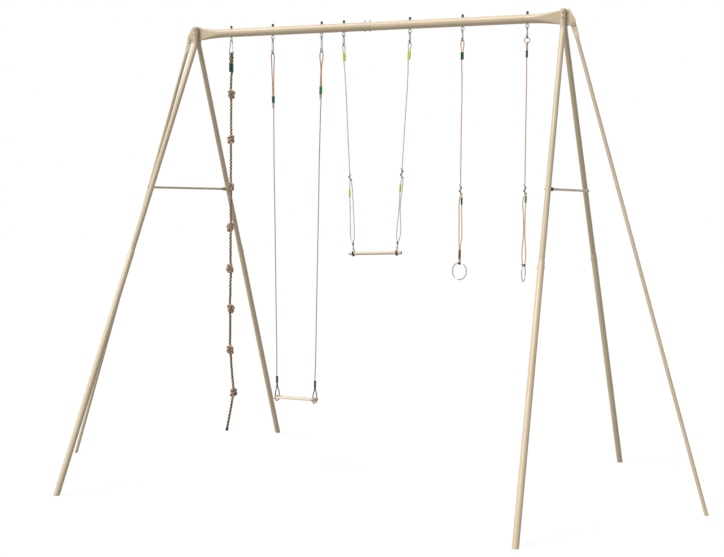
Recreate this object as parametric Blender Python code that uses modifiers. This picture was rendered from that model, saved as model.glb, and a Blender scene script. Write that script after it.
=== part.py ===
# Swing frame: a tube frame on two A-shaped ends with side struts, carrying a
# knotted climbing rope, a board swing, a trapeze and a pair of gym rings.
# Metres, +Z up, +X to the right seen from the front, origin on the ground
# in the middle between the feet. The front is -Y.
import math

import bmesh
import bpy
from mathutils import Matrix, Vector

# Frame: overall sizes
BEAM_HEIGHT = 4.000
FRONT_FOOT_X = 1.998
BACK_FOOT_X = 1.848
FOOT_SPREAD_Y = 1.828
STRUT_FOOT_X = 3.032
STRUT_FOOT_Y = -0.130

# Top beam: two tubes joined end in end, each outer end pressed flat on edge
BEAM_DIAMETER = 0.076
BEAM_WALL = 0.003
BEAM_HALF_LENGTH = 1.798
BEAM_FLARE_START = BEAM_HALF_LENGTH - 0.338
BEAM_FLAT_START = BEAM_HALF_LENGTH - 0.108
BEAM_SEAM_X = 0.019
SPIGOT_LENGTH = 0.150
BEAM_BOLT_X = (-0.046, 0.0015)
BEAM_BOLT_RISE = 0.024

# Legs: an upper tube that slides into a wider lower tube
UPPER_LEG_DIAMETER = 0.046
UPPER_LEG_WALL = 0.0025
LOWER_LEG_WALL = 0.0027
LEG_TOP_X = BEAM_HALF_LENGTH - 0.043
LEG_TOP_RISE = 0.066
LEG_BEND_DROP = 0.090
LEG_BEND_RADIUS = 0.120
LEG_JOINT_Z = 1.970
LEG_LAP_ABOVE = 0.050
LEG_LAP_BELOW = 0.110
FOOT_PLUG = 0.030

# Side struts: one tube each, pressed flat at the top
STRUT_DIAMETER = 0.031
STRUT_WALL = 0.002
STRUT_BOLT_X = BEAM_HALF_LENGTH + 0.034
STRUT_BOLT_DROP = 0.045
STRUT_TAB_ABOVE = 0.014
STRUT_TAB_LENGTH = 0.060
STRUT_FLARE_LENGTH = 0.090

# Apex brackets: a plate on the front of the beam's flat end
BRACKET_LEG_GAP = 0.0015
BRACKET_OUTER_X = STRUT_BOLT_X + 0.024
BRACKET_TOP_RISE = 0.066
BRACKET_BOTTOM_DROP = 0.072
BRACKET_CORNER = 0.045
BRACKET_THICKNESS = 0.005

# Braces: a thin tube on the outer side of each pair of legs, flat at both ends
BRACE_Z = 2.577
BRACE_DIAMETER = 0.021
BRACE_WALL = 0.0012
BRACE_TAB_PAST_BOLT = 0.014
BRACE_TAB_LENGTH = 0.040
BRACE_FLARE_LENGTH = 0.045
BRACE_SEAT_GAP = 0.0010

# Fasteners
BOLT_DIAMETER = 0.010
SMALL_BOLT_DIAMETER = 0.008
APEX_BOLT_RISES = (0.042, 0.0)
HEAD_RADIUS = 0.9
PRESSED_SLIT = 0.0006

# Hangers: eye bolts through the beam and long wire hooks in them
CLIMB_X = -1.391
LOW_LEFT_X = -0.961
LOW_RIGHT_X = -0.469
TRAPEZE_LEFT_X = -0.251
TRAPEZE_RIGHT_X = 0.381
RING_LEFT_X = 0.866
RING_RIGHT_X = 1.441
EYE_RADIUS = 0.0145
EYE_WIRE = 0.008
EYE_COLLAR = 0.003
EYE_NUT_RADIUS = 0.010
EYE_NUT_HEIGHT = 0.018
HOOK_WIRE = 0.008
HOOK_LENGTH = 0.0960
LONG_HOOK_LENGTH = 0.1400
HOOK_FOOT_RADIUS = 0.014
CLIMB_HOOK_FOOT_RADIUS = 0.019
LINK_RADIUS = 0.0235
LINK_WIRE = 0.007

# Swing ropes and what is clamped on them
ROPE_DIAMETER = 0.011
STRAND_GAP = 0.0008
SLEEVE_WALL = 0.0018
ADJUSTER_WALL = 0.0040

# Board swing
SEAT_ROPE_LEFT_X = -0.893
SEAT_ROPE_RIGHT_X = -0.510
SEAT_Z = 0.672
CLEAT_WIDTH = 0.026
CLEAT_DEPTH = 0.098
CLEAT_HEIGHT = 0.030
CLEAT_HOLE_SPREAD = 0.074
CLEAT_BEND = 0.012
BOARD_DEPTH = 0.108
BOARD_THICKNESS = 0.014
BOARD_TONGUE = 0.0045
LOW_SPLIT_Z = 0.760

# Trapeze
BAR_DIAMETER = 0.030
BAR_LEFT_X = -0.180
BAR_RIGHT_X = 0.326
BAR_LEFT_Z = 2.003
BAR_RIGHT_Z = 2.023
BAR_ROPE_LEFT_X = -0.137
BAR_ROPE_RIGHT_X = 0.281

# Gym rings
RING_DIAMETER = 0.156
RING_WIRE = 0.011
RING_CENTRE_Z = 1.876
RING_LEFT_TURN = math.radians(14.5)

# Climbing rope
CLIMB_DIAMETER = 0.024
KNOT_WIDTH = 0.070
KNOT_HEIGHT = 0.074
KNOT_Z = (3.438, 3.027, 2.594, 2.216, 1.838, 1.464, 1.082, 0.680)
CLIMB_SLEEVE = (3.645, 3.724)

# Clearances
TOUCH = 0.0003
ROPE_TOUCH = 0.0008
WIRE_TOUCH = 0.0005
SEAT_FIT = 0.0003

# How finely round things are divided
TUBE_SIDES = 16
BEAM_SIDES = 20
SHANK_SIDES = 8
BRACE_SIDES = 12
SLEEVE_SIDES = 12
EYE_SIDES = (12, 6)
LINK_SIDES = (16, 6)
RING_SIDES = (28, 8)
WIRE_SIDES = 8
BEND_STEPS = 6
HOLE_TURN = 0.10
ROPE_TURN = math.radians(24.0)

X, Y, Z = Vector((1, 0, 0)), Vector((0, 1, 0)), Vector((0, 0, 1))


# Collections, materials and placing
for old in list(bpy.data.objects):
    bpy.data.objects.remove(old, do_unlink=True)

parts = bpy.data.collections.new("swing_frame")
cutters = bpy.data.collections.new("cutters")
bpy.context.scene.collection.children.link(parts)
bpy.context.scene.collection.children.link(cutters)


def material(name, colour, roughness, metallic):
    made = bpy.data.materials.new(name)
    made.use_nodes = True
    shader = made.node_tree.nodes["Principled BSDF"]
    shader.inputs["Base Color"].default_value = (*colour, 1.0)
    shader.inputs["Roughness"].default_value = roughness
    shader.inputs["Metallic"].default_value = metallic
    made.diffuse_color = (*colour, 1.0)
    return made


PAINT = material("cream_paint", (0.78, 0.70, 0.54), 0.35, 0.0)
ZINC = material("zinc_plate", (0.55, 0.55, 0.56), 0.35, 1.0)
STEEL = material("bright_steel", (0.68, 0.70, 0.72), 0.22, 1.0)
SWING_ROPE = material("swing_rope", (0.72, 0.57, 0.46), 0.85, 0.0)
CLIMB_ROPE = material("climbing_rope", (0.52, 0.36, 0.22), 0.90, 0.0)
GREEN = material("green_sleeve", (0.05, 0.38, 0.20), 0.50, 0.0)
ADJUSTER = material("grey_adjuster", (0.36, 0.42, 0.38), 0.45, 0.6)
WOOD = material("light_wood", (0.78, 0.60, 0.38), 0.55, 0.0)


def add_object(name, data, finish):
    made = bpy.data.objects.new(name, data)
    parts.objects.link(made)
    if finish is not None:
        data.materials.append(finish)
    return made


def as_cutter(made):
    parts.objects.unlink(made)
    cutters.objects.link(made)
    made.hide_render = True
    made.display_type = "WIRE"
    return made


def smooth(made, degrees=32.0):
    made.data.shade_smooth()
    made.data.set_sharp_from_angle(angle=math.radians(degrees))
    return made


def combine(made, other, operation):
    modifier = made.modifiers.new(operation.lower(), "BOOLEAN")
    modifier.operation = operation
    modifier.solver = "EXACT"
    modifier.object = as_cutter(other)
    return made


def cut(made, cutter):
    return combine(made, cutter, "DIFFERENCE")


def join(made, piece):
    return combine(made, piece, "UNION")


def pivot(name, place):
    empty = bpy.data.objects.new(name, None)
    empty.location = place
    parts.objects.link(empty)
    return empty


def hang_on(empty, *pieces):
    for piece in pieces:
        piece.parent = empty
        piece.matrix_parent_inverse = Matrix.Translation(empty.location).inverted()


# Basic shapes
def cylinder(name, start, end, radius, sides, finish=None, turn=0.0):
    start, end = Vector(start), Vector(end)
    shape = bmesh.new()
    spin = Matrix.Rotation(turn, 4, "Z")
    bmesh.ops.create_cone(shape, cap_ends=True, segments=sides, radius1=radius, radius2=radius,
                          depth=(end - start).length, matrix=spin)
    mesh = bpy.data.meshes.new(name)
    shape.to_mesh(mesh)
    shape.free()
    made = add_object(name, mesh, finish)
    made.location = (start + end) / 2
    made.rotation_euler = Z.rotation_difference(end - start).to_euler()
    return made


def box(name, low, high, finish=None):
    low, high = Vector(low), Vector(high)
    shape = bmesh.new()
    bmesh.ops.create_cube(shape, size=1.0, matrix=Matrix.Diagonal((*(high - low), 1.0)))
    mesh = bpy.data.meshes.new(name)
    shape.to_mesh(mesh)
    shape.free()
    made = add_object(name, mesh, finish)
    made.location = (low + high) / 2
    return made


def wire(name, points, radius, sides, finish, closed=False, swell=None):
    curve = bpy.data.curves.new(name, "CURVE")
    curve.dimensions = "3D"
    curve.bevel_depth = radius
    curve.bevel_resolution = (sides - 4) // 2
    curve.use_fill_caps = not closed
    line = curve.splines.new("POLY")
    line.points.add(len(points) - 1)
    for index, point in enumerate(points):
        line.points[index].co = (*point, 1.0)
        line.points[index].radius = swell[index] if swell else 1.0
    line.use_cyclic_u = closed
    return add_object(name, curve, finish)


def tube_solid(name, points, radius, finish=None):
    # A bent round bar as a welded mesh, so that it can be cut and can cut
    curve = wire(name + "_line", points, radius, TUBE_SIDES, None)
    bpy.context.view_layer.update()
    ready = curve.evaluated_get(bpy.context.evaluated_depsgraph_get())
    mesh = bpy.data.meshes.new_from_object(ready)
    mesh.name = name
    shape = bmesh.new()
    shape.from_mesh(mesh)
    bmesh.ops.remove_doubles(shape, verts=shape.verts, dist=0.00001)
    bmesh.ops.recalc_face_normals(shape, faces=shape.faces)
    shape.to_mesh(mesh)
    shape.free()
    made = add_object(name, mesh, finish)
    made.matrix_world = curve.matrix_world
    bpy.data.objects.remove(curve, do_unlink=True)
    return made


def pressed_section(centre, wide, thin, half_thickness, half_straight, sides):
    # One ring of a tube that is pressed flat: two half circles and two straights
    ring = []
    for index in range(sides):
        angle = 2 * math.pi * (index + 0.5) / sides
        side = half_straight if math.sin(angle) > 0 else -half_straight
        across = half_thickness * math.cos(angle)
        along = half_thickness * math.sin(angle) + side
        ring.append(centre + thin * across + wide * along)
    return ring


def loft(name, outer, inner, finish, closed_end=False):
    # A hollow loft: rings of equal count outside and inside, open at the start
    shape = bmesh.new()
    outside = [[shape.verts.new(point) for point in ring] for ring in outer]
    inside = [[shape.verts.new(point) for point in ring] for ring in inner]
    sides = len(outer[0])

    def skin(first, second):
        for index in range(sides):
            after = (index + 1) % sides
            shape.faces.new((first[index], first[after], second[after], second[index]))

    for first, second in zip(outside, outside[1:]):
        skin(first, second)
    for first, second in zip(inside[1:], inside):
        skin(first, second)
    skin(inside[0], outside[0])
    if closed_end:
        shape.faces.new(outside[-1])
        shape.faces.new(inside[-1])
    else:
        skin(outside[-1], inside[-1])
    bmesh.ops.recalc_face_normals(shape, faces=shape.faces)
    mesh = bpy.data.meshes.new(name)
    shape.to_mesh(mesh)
    shape.free()
    return add_object(name, mesh, finish)


def pressed_sizes(radius, half_thickness):
    # Pressing keeps the tube's way round, so what it loses in thickness it gains in width
    return half_thickness, math.pi * (radius - half_thickness) / 2


def ease(share):
    share = min(max(share, 0.0), 1.0)
    return share * share * (3 - 2 * share)


def hole_radius(shank, clearance=TOUCH, sides=SHANK_SIDES):
    # A faceted hole's flats lie inside its corners, so the corners go out
    return (shank + clearance) / math.cos(math.pi / sides)


def drill(made, name, start, end, shank):
    return cut(made, cylinder(name, start, end, hole_radius(shank), SHANK_SIDES, turn=HOLE_TURN))


def bolt(name, head_seat, nut_seat, diameter, finish):
    # Hexagon head, shank and nut, between the two faces that it clamps
    head_seat, nut_seat = Vector(head_seat), Vector(nut_seat)
    way = (nut_seat - head_seat).normalized()
    head, nut = 0.65 * diameter, 0.80 * diameter
    start = head_seat - way * (TOUCH + head)
    end = nut_seat + way * (TOUCH + nut)
    made = cylinder(name, start, end + way * 0.3 * diameter, diameter / 2, SHANK_SIDES, finish)
    wide = HEAD_RADIUS * diameter
    join(made, cylinder(name + "_head", start - way * 0.0002, head_seat - way * TOUCH, wide, 6))
    join(made, cylinder(name + "_nut", nut_seat + way * TOUCH, end, wide, 6))
    return made


# Beam
BEAM_RADIUS = BEAM_DIAMETER / 2
BEAM_FLAT = BEAM_WALL + PRESSED_SLIT / 2
BEAM_BORE = BEAM_RADIUS - BEAM_WALL
SPIGOT_RADIUS = BEAM_BORE - SEAT_FIT
BEAM_STATIONS = 6
UPPER_RADIUS = UPPER_LEG_DIAMETER / 2
LEG_SIDE_X = LEG_TOP_X + UPPER_RADIUS
BRACKET_INNER_X = LEG_SIDE_X + BRACKET_LEG_GAP
BRACKET_BOLT_X = LEG_SIDE_X + HEAD_RADIUS * BOLT_DIAMETER


def beam_rings(side, inset):
    # From the flat outer end in to the round middle
    span = BEAM_FLAT_START - BEAM_FLARE_START
    places = [BEAM_HALF_LENGTH]
    places += [BEAM_FLAT_START - span * step / (BEAM_STATIONS - 1) for step in range(BEAM_STATIONS)]
    rings = []
    for place in places:
        share = ease((place - BEAM_FLARE_START) / span)
        half = BEAM_RADIUS + (BEAM_FLAT - BEAM_RADIUS) * share
        thick, straight = pressed_sizes(BEAM_RADIUS, half)
        centre = Vector((side * place, 0, BEAM_HEIGHT))
        rings.append(pressed_section(centre, Z, Y, thick - inset, straight, BEAM_SIDES))
    return rings


def beam_ring_at(x, radius):
    return pressed_section(Vector((x, 0, BEAM_HEIGHT)), Z, Y, radius, 0.0, BEAM_SIDES)


def beam_holes(beam, hangers, side):
    for x in hangers:
        drill(beam, f"{beam.name}_hanger_hole", (x, 0, BEAM_HEIGHT - 0.06), (x, 0, BEAM_HEIGHT + 0.06),
              BOLT_DIAMETER / 2)
    for rise in APEX_BOLT_RISES:
        for x in (LEG_TOP_X, BRACKET_BOLT_X):
            z = BEAM_HEIGHT + rise
            ends = (side * x, -0.03, z), (side * x, 0.03, z)
            drill(beam, f"{beam.name}_apex_hole", *ends, BOLT_DIAMETER / 2)
    return smooth(beam)


LEFT_HANGERS = (CLIMB_X, LOW_LEFT_X, LOW_RIGHT_X, TRAPEZE_LEFT_X)
RIGHT_HANGERS = (TRAPEZE_RIGHT_X, RING_LEFT_X, RING_RIGHT_X)

seam_left = BEAM_SEAM_X - TOUCH
beam_left = loft("beam_left", beam_rings(-1, 0.0) + [beam_ring_at(seam_left, BEAM_RADIUS)],
                 beam_rings(-1, BEAM_WALL) + [beam_ring_at(seam_left, BEAM_BORE)], PAINT)
for x in BEAM_BOLT_X:
    drill(beam_left, "beam_joint_hole", (x, 0, BEAM_HEIGHT - 0.06), (x, 0, BEAM_HEIGHT + 0.06),
          SMALL_BOLT_DIAMETER / 2)
beam_holes(beam_left, LEFT_HANGERS, -1)

spigot_end = BEAM_SEAM_X - SPIGOT_LENGTH
spigot_bore = SPIGOT_RADIUS - BEAM_WALL
beam_right = loft("beam_right", beam_rings(1, 0.0) + [beam_ring_at(BEAM_SEAM_X, BEAM_RADIUS),
                                                      beam_ring_at(BEAM_SEAM_X, SPIGOT_RADIUS),
                                                      beam_ring_at(spigot_end, SPIGOT_RADIUS)],
                  beam_rings(1, BEAM_WALL) + [beam_ring_at(BEAM_SEAM_X + 0.012, BEAM_BORE),
                                              beam_ring_at(BEAM_SEAM_X + 0.008, spigot_bore),
                                              beam_ring_at(spigot_end, spigot_bore)], PAINT)
for x in BEAM_BOLT_X:
    # The two bolts of the beam's own joint are one with the spigot that they hold
    low, high = BEAM_HEIGHT - BEAM_RADIUS - 0.007, BEAM_HEIGHT + BEAM_RADIUS + BEAM_BOLT_RISE
    join(beam_right, cylinder("beam_joint_bolt", (x, 0, low), (x, 0, high), SMALL_BOLT_DIAMETER / 2,
                              SHANK_SIDES))
    head = (x, 0, low - 0.0002), (x, 0, BEAM_HEIGHT - BEAM_RADIUS - TOUCH)
    join(beam_right, cylinder("beam_joint_bolt_head", *head, HEAD_RADIUS * SMALL_BOLT_DIAMETER, 6))
beam_holes(beam_right, RIGHT_HANGERS, 1)


# Legs
LOWER_RADIUS = UPPER_RADIUS + SEAT_FIT + LOWER_LEG_WALL
LEG_TOP_Y = BEAM_FLAT + TOUCH + UPPER_RADIUS
LEG_BEND_Z = BEAM_HEIGHT - LEG_BEND_DROP


def leg_line(side, face):
    # The straight part of a leg: its bend point under the beam and its foot
    foot_x = FRONT_FOOT_X if face < 0 else BACK_FOOT_X
    bend = Vector((side * LEG_TOP_X, face * LEG_TOP_Y, LEG_BEND_Z))
    return bend, Vector((side * foot_x, face * FOOT_SPREAD_Y, 0.0))


def on_leg(side, face, z):
    bend, foot = leg_line(side, face)
    return bend.lerp(foot, (bend.z - z) / bend.z)


def bent_path(top, bend, end, radius, steps=3):
    # The straight runs with a round bend of that radius between them
    before, after = (top - bend).normalized(), (end - bend).normalized()
    opening = before.angle(after)
    reach = radius / math.tan(opening / 2)
    centre = bend + (before + after).normalized() * radius / math.sin(opening / 2)
    first, last = bend + before * reach - centre, bend + after * reach - centre
    middle = [first.slerp(last, step / steps).normalized() * radius for step in range(steps + 1)]
    return [top] + [centre + offset for offset in middle] + [end]


def upper_leg(name, side, face):
    bend, foot = leg_line(side, face)
    way = (foot - bend).normalized()
    top = Vector((bend.x, bend.y, BEAM_HEIGHT + LEG_TOP_RISE))
    end = on_leg(side, face, LEG_JOINT_Z) + way * LEG_LAP_BELOW
    made = tube_solid(name, bent_path(top, bend, end, LEG_BEND_RADIUS), UPPER_RADIUS, PAINT)
    bore = bent_path(top + Z * 0.01, bend, end + way * 0.01, LEG_BEND_RADIUS)
    cut(made, tube_solid(name + "_bore", bore, UPPER_RADIUS - UPPER_LEG_WALL))
    for rise in APEX_BOLT_RISES:
        z = BEAM_HEIGHT + rise
        drill(made, name + "_apex_hole", (bend.x, bend.y - 0.04, z), (bend.x, bend.y + 0.04, z),
              BOLT_DIAMETER / 2)
    brace_hole = on_leg(side, face, BRACE_Z)
    drill(made, name + "_brace_hole", brace_hole - X * 0.04, brace_hole + X * 0.04, SMALL_BOLT_DIAMETER / 2)
    # The bolt that holds the two tubes together is one with the upper tube
    joint = on_leg(side, face, LEG_JOINT_Z)
    reach = LOWER_RADIUS + 0.007
    join(made, cylinder(name + "_joint_bolt", joint - X * reach, joint + X * reach,
                        SMALL_BOLT_DIAMETER / 2, SHANK_SIDES))
    return smooth(made)


def lower_leg(name, side, face):
    # Hollow down to its foot plug, and cut flat where it stands on the ground
    bend, foot = leg_line(side, face)
    way = (foot - bend).normalized()
    wide = way.cross(X).normalized()
    thin = way.cross(wide)
    joint = on_leg(side, face, LEG_JOINT_Z)
    top = joint - way * LEG_LAP_ABOVE
    bore_radius = hole_radius(UPPER_RADIUS, SEAT_FIT, TUBE_SIDES)
    bore = top, on_leg(side, face, FOOT_PLUG)
    outer = [pressed_section(end, wide, thin, LOWER_RADIUS, 0.0, TUBE_SIDES) for end in (top, foot)]
    inner = [pressed_section(end, wide, thin, bore_radius, 0.0, TUBE_SIDES) for end in bore]
    outer[-1] = [point - way * (point.z / way.z) for point in outer[-1]]
    made = loft(name, outer, inner, PAINT, closed_end=True)
    drill(made, name + "_joint_hole", joint - X * 0.04, joint + X * 0.04, SMALL_BOLT_DIAMETER / 2)
    return smooth(made)


ENDS = (("left", -1), ("right", 1))
FACES = (("front", -1), ("back", 1))
for end_name, side in ENDS:
    for face_name, face in FACES:
        upper_leg(f"upper_leg_{face_name}_{end_name}", side, face)
        lower_leg(f"lower_leg_{face_name}_{end_name}", side, face)


# Side struts
STRUT_RADIUS = STRUT_DIAMETER / 2
STRUT_FLAT = STRUT_WALL + PRESSED_SLIT / 2
STRUT_BOLT_Z = BEAM_HEIGHT - STRUT_BOLT_DROP


def strut(name, side):
    bolt_place = Vector((side * STRUT_BOLT_X, 0, STRUT_BOLT_Z))
    foot = Vector((side * STRUT_FOOT_X, STRUT_FOOT_Y, 0.0))
    way = Vector((foot.x - bolt_place.x, 0, foot.z - bolt_place.z)).normalized()
    wide = Vector((way.z, 0, -way.x))
    length = (foot.z - bolt_place.z) / way.z
    reaches = [-STRUT_TAB_ABOVE, STRUT_TAB_LENGTH]
    reaches += [STRUT_TAB_LENGTH + STRUT_FLARE_LENGTH * step / 4 for step in range(1, 5)]
    outer, inner = [], []
    for reach in reaches + [length - FOOT_PLUG, length]:
        share = ease((reach - STRUT_TAB_LENGTH) / STRUT_FLARE_LENGTH)
        half = STRUT_FLAT + (STRUT_RADIUS - STRUT_FLAT) * share
        lean = max(reach - STRUT_TAB_LENGTH, 0.0) / (length - STRUT_TAB_LENGTH)
        centre = bolt_place + way * reach + Y * STRUT_FOOT_Y * lean
        thick, straight = pressed_sizes(STRUT_RADIUS, half)
        outer.append(pressed_section(centre, wide, Y, thick, straight, TUBE_SIDES))
        inner.append(pressed_section(centre, wide, Y, thick - STRUT_WALL, straight, TUBE_SIDES))
    outer[-1] = [point + way * (-point.z / way.z) for point in outer[-1]]
    made = loft(name, outer, inner[:-1], PAINT, closed_end=True)
    drill(made, name + "_hole", bolt_place - Y * 0.02, bolt_place + Y * 0.02, BOLT_DIAMETER / 2)
    return smooth(made)


for end_name, side in ENDS:
    strut(f"side_strut_{end_name}", side)


# Apex brackets, each with its three bolts
def bracket(name, side):
    front = -(BEAM_FLAT + TOUCH + BRACKET_THICKNESS)
    low = (side * BRACKET_INNER_X, front, BEAM_HEIGHT - BRACKET_BOTTOM_DROP)
    high = (side * BRACKET_OUTER_X, front + BRACKET_THICKNESS, BEAM_HEIGHT + BRACKET_TOP_RISE)
    corners = [min(low[0], high[0]), low[1], low[2]], [max(low[0], high[0]), high[1], high[2]]
    made = box(name, *corners, PAINT)
    corner = Vector((side * BRACKET_OUTER_X, front, high[2]))
    clip = box(name + "_corner", (-0.04, -0.02, 0.0), (0.04, 0.02, 0.08))
    clip.location = corner + Vector((0, 0, -BRACKET_CORNER / 2))
    clip.location += Vector((side * 0.5, 0, 0.866)) * (0.04 - BRACKET_CORNER / 4)
    clip.rotation_euler = (0, side * math.radians(30), 0)
    cut(made, clip)
    places = [(BRACKET_BOLT_X, BEAM_HEIGHT + rise) for rise in APEX_BOLT_RISES]
    for x, z in places + [(STRUT_BOLT_X, STRUT_BOLT_Z)]:
        back = (BEAM_FLAT if x == BRACKET_BOLT_X else STRUT_FLAT) + TOUCH
        ends = (side * x, front - 0.0065, z), (side * x, back + 0.010, z)
        join(made, cylinder(name + "_bolt", *ends, BOLT_DIAMETER / 2, SHANK_SIDES))
        head = (side * x, front - 0.0066, z), (side * x, front + 0.001, z)
        join(made, cylinder(name + "_bolt_head", *head, HEAD_RADIUS * BOLT_DIAMETER, 6))
        nut = (side * x, back, z), (side * x, back + 0.008, z)
        join(made, cylinder(name + "_bolt_nut", *nut, HEAD_RADIUS * BOLT_DIAMETER, 6))
    return smooth(made)


for end_name, side in ENDS:
    bracket(f"apex_bracket_{end_name}", side)
    outside = LEG_TOP_Y + UPPER_RADIUS
    for place, rise in zip(("upper", "lower"), APEX_BOLT_RISES):
        at = Vector((side * LEG_TOP_X, 0, BEAM_HEIGHT + rise))
        seats = at - Y * outside, at + Y * outside
        smooth(bolt(f"apex_bolt_{place}_{end_name}", *seats, BOLT_DIAMETER, ZINC))


# Braces and their bolts
BRACE_RADIUS = BRACE_DIAMETER / 2
BRACE_FLAT = BRACE_WALL + PRESSED_SLIT / 2


def brace(name, side):
    offset = Vector((side * (UPPER_RADIUS + BRACE_SEAT_GAP + BRACE_FLAT), 0, 0))
    start = on_leg(side, -1, BRACE_Z) + offset
    end = on_leg(side, 1, BRACE_Z) + offset
    way = (end - start).normalized()
    thin = way.cross(Z)
    length = (end - start).length
    near = [-BRACE_TAB_PAST_BOLT, BRACE_TAB_LENGTH]
    near += [BRACE_TAB_LENGTH + BRACE_FLARE_LENGTH * step / 2 for step in range(1, 3)]
    outer, inner = [], []
    for reach in near + [length - far for far in reversed(near)]:
        from_end = min(reach, length - reach)
        share = ease((from_end - BRACE_TAB_LENGTH) / BRACE_FLARE_LENGTH)
        thick, straight = pressed_sizes(BRACE_RADIUS, BRACE_FLAT + (BRACE_RADIUS - BRACE_FLAT) * share)
        centre = start + way * reach
        outer.append(pressed_section(centre, Z, thin, thick, straight, BRACE_SIDES))
        inner.append(pressed_section(centre, Z, thin, thick - BRACE_WALL, straight, BRACE_SIDES))
    made = loft(name, outer, inner, PAINT)
    for place in (start, end):
        drill(made, name + "_hole", place - X * 0.02, place + X * 0.02, SMALL_BOLT_DIAMETER / 2)
    return smooth(made)


for end_name, side in ENDS:
    brace(f"brace_{end_name}", side)
    for face_name, face in FACES:
        at = on_leg(side, face, BRACE_Z)
        inner_side = at - X * side * UPPER_RADIUS
        outer_side = at + X * side * (UPPER_RADIUS + BRACE_SEAT_GAP + 2 * BRACE_FLAT + 0.0007)
        smooth(bolt(f"brace_bolt_{face_name}_{end_name}", inner_side - X * side * 0.001, outer_side,
                    SMALL_BOLT_DIAMETER, ZINC))


# Hangers
EYE_WIRE_RADIUS = EYE_WIRE / 2
HOOK_RADIUS = HOOK_WIRE / 2
LINK_WIRE_RADIUS = LINK_WIRE / 2
ROPE_RADIUS = ROPE_DIAMETER / 2
CLIMB_RADIUS = CLIMB_DIAMETER / 2
EYE_COLLAR_Z = BEAM_HEIGHT - BEAM_RADIUS - TOUCH - EYE_COLLAR
EYE_Z = EYE_COLLAR_Z - EYE_RADIUS - EYE_WIRE_RADIUS + 0.001
PIVOT_Z = EYE_Z - EYE_RADIUS
HOOK_HEAD_RADIUS = EYE_WIRE_RADIUS + HOOK_RADIUS + WIRE_TOUCH
HOOK_FOOT_Z = PIVOT_Z + HOOK_HEAD_RADIUS - HOOK_LENGTH
LONG_HOOK_FOOT_Z = PIVOT_Z + HOOK_HEAD_RADIUS - LONG_HOOK_LENGTH


def torus(name, centre, radius, wire_radius, turn, sides, finish):
    bpy.ops.mesh.primitive_torus_add(major_radius=radius, minor_radius=wire_radius,
                                     major_segments=sides[0], minor_segments=sides[1])
    made = bpy.context.object
    made.name = made.data.name = name
    for collection in list(made.users_collection):
        collection.objects.unlink(made)
    parts.objects.link(made)
    made.data.materials.append(finish)
    made.location = centre
    made.rotation_euler = (math.radians(90), 0, turn)
    return smooth(made)


def eye_bolt(name, x, turned):
    # Shank, collar and cap nut are one turned profile, and the eye is welded under them
    beam_top = BEAM_HEIGHT + BEAM_RADIUS + TOUCH
    cap = beam_top + EYE_NUT_HEIGHT
    shank = BOLT_DIAMETER / 2
    profile = [(0.0, cap), (0.6 * EYE_NUT_RADIUS, cap - 0.001), (EYE_NUT_RADIUS, cap - 0.007),
               (EYE_NUT_RADIUS, beam_top), (shank, beam_top), (shank, EYE_COLLAR_Z + EYE_COLLAR),
               (0.009, EYE_COLLAR_Z + EYE_COLLAR), (0.009, EYE_COLLAR_Z), (0.0, EYE_COLLAR_Z)]
    mesh = bpy.data.meshes.new(name)
    mesh.from_pydata([(radius, 0, z) for radius, z in profile],
                     [(index, index + 1) for index in range(len(profile) - 1)], [])
    made = add_object(name, mesh, ZINC)
    made.location = (x, 0, 0)
    lathe = made.modifiers.new("lathe", "SCREW")
    lathe.axis = "Z"
    lathe.steps = lathe.render_steps = SHANK_SIDES
    lathe.use_merge_vertices = True
    lathe.merge_threshold = 0.00001
    turn = math.radians(90) if turned else 0.0
    made.rotation_euler = (0, 0, turn)
    join(made, torus(name + "_eye", (x, 0, EYE_Z), EYE_RADIUS, EYE_WIRE_RADIUS, turn, EYE_SIDES, ZINC))
    return smooth(made)


def arc(centre, along, up, radius, start, end, steps):
    angles = [math.radians(start + (end - start) * step / steps) for step in range(steps + 1)]
    return [centre + along * radius * math.cos(angle) + up * radius * math.sin(angle) for angle in angles]


def hook(name, x, turned, foot_z):
    # A closed wire loop, narrow round the eye and wider at its foot
    along = X if turned else Y
    head = Vector((x, 0, PIVOT_Z))
    foot_radius = CLIMB_HOOK_FOOT_RADIUS if turned else HOOK_FOOT_RADIUS
    foot = Vector((x, 0, foot_z + foot_radius))
    points = arc(head, along, Z, HOOK_HEAD_RADIUS, 0, 180, BEND_STEPS)
    points += arc(foot, along, Z, foot_radius, 180, 360, BEND_STEPS)
    return wire(name, points, HOOK_RADIUS, WIRE_SIDES, STEEL, closed=True)


HANGERS = (("climb", CLIMB_X, True), ("low_left", LOW_LEFT_X, False), ("low_right", LOW_RIGHT_X, False),
           ("trapeze_left", TRAPEZE_LEFT_X, False), ("trapeze_right", TRAPEZE_RIGHT_X, False),
           ("ring_left", RING_LEFT_X, False), ("ring_right", RING_RIGHT_X, False))
# The climbing rope and the board swing hang in longer hooks than the others
LONG_HOOKS = ("climb", "low_left", "low_right")
hooks = {}
for place, x, turned in HANGERS:
    eye_bolt(f"eye_bolt_{place}", x, turned)
    foot_z = LONG_HOOK_FOOT_Z if place in LONG_HOOKS else HOOK_FOOT_Z
    hooks[place] = hook(f"hook_{place}", x, turned, foot_z)

LINK_Z = HOOK_FOOT_Z + HOOK_RADIUS + LINK_WIRE_RADIUS + WIRE_TOUCH - LINK_RADIUS
LINK_FOOT_Z = LINK_Z - LINK_RADIUS
link = torus("ring_link", (RING_RIGHT_X, 0, LINK_Z), LINK_RADIUS, LINK_WIRE_RADIUS, 0.0, LINK_SIDES, STEEL)


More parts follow.
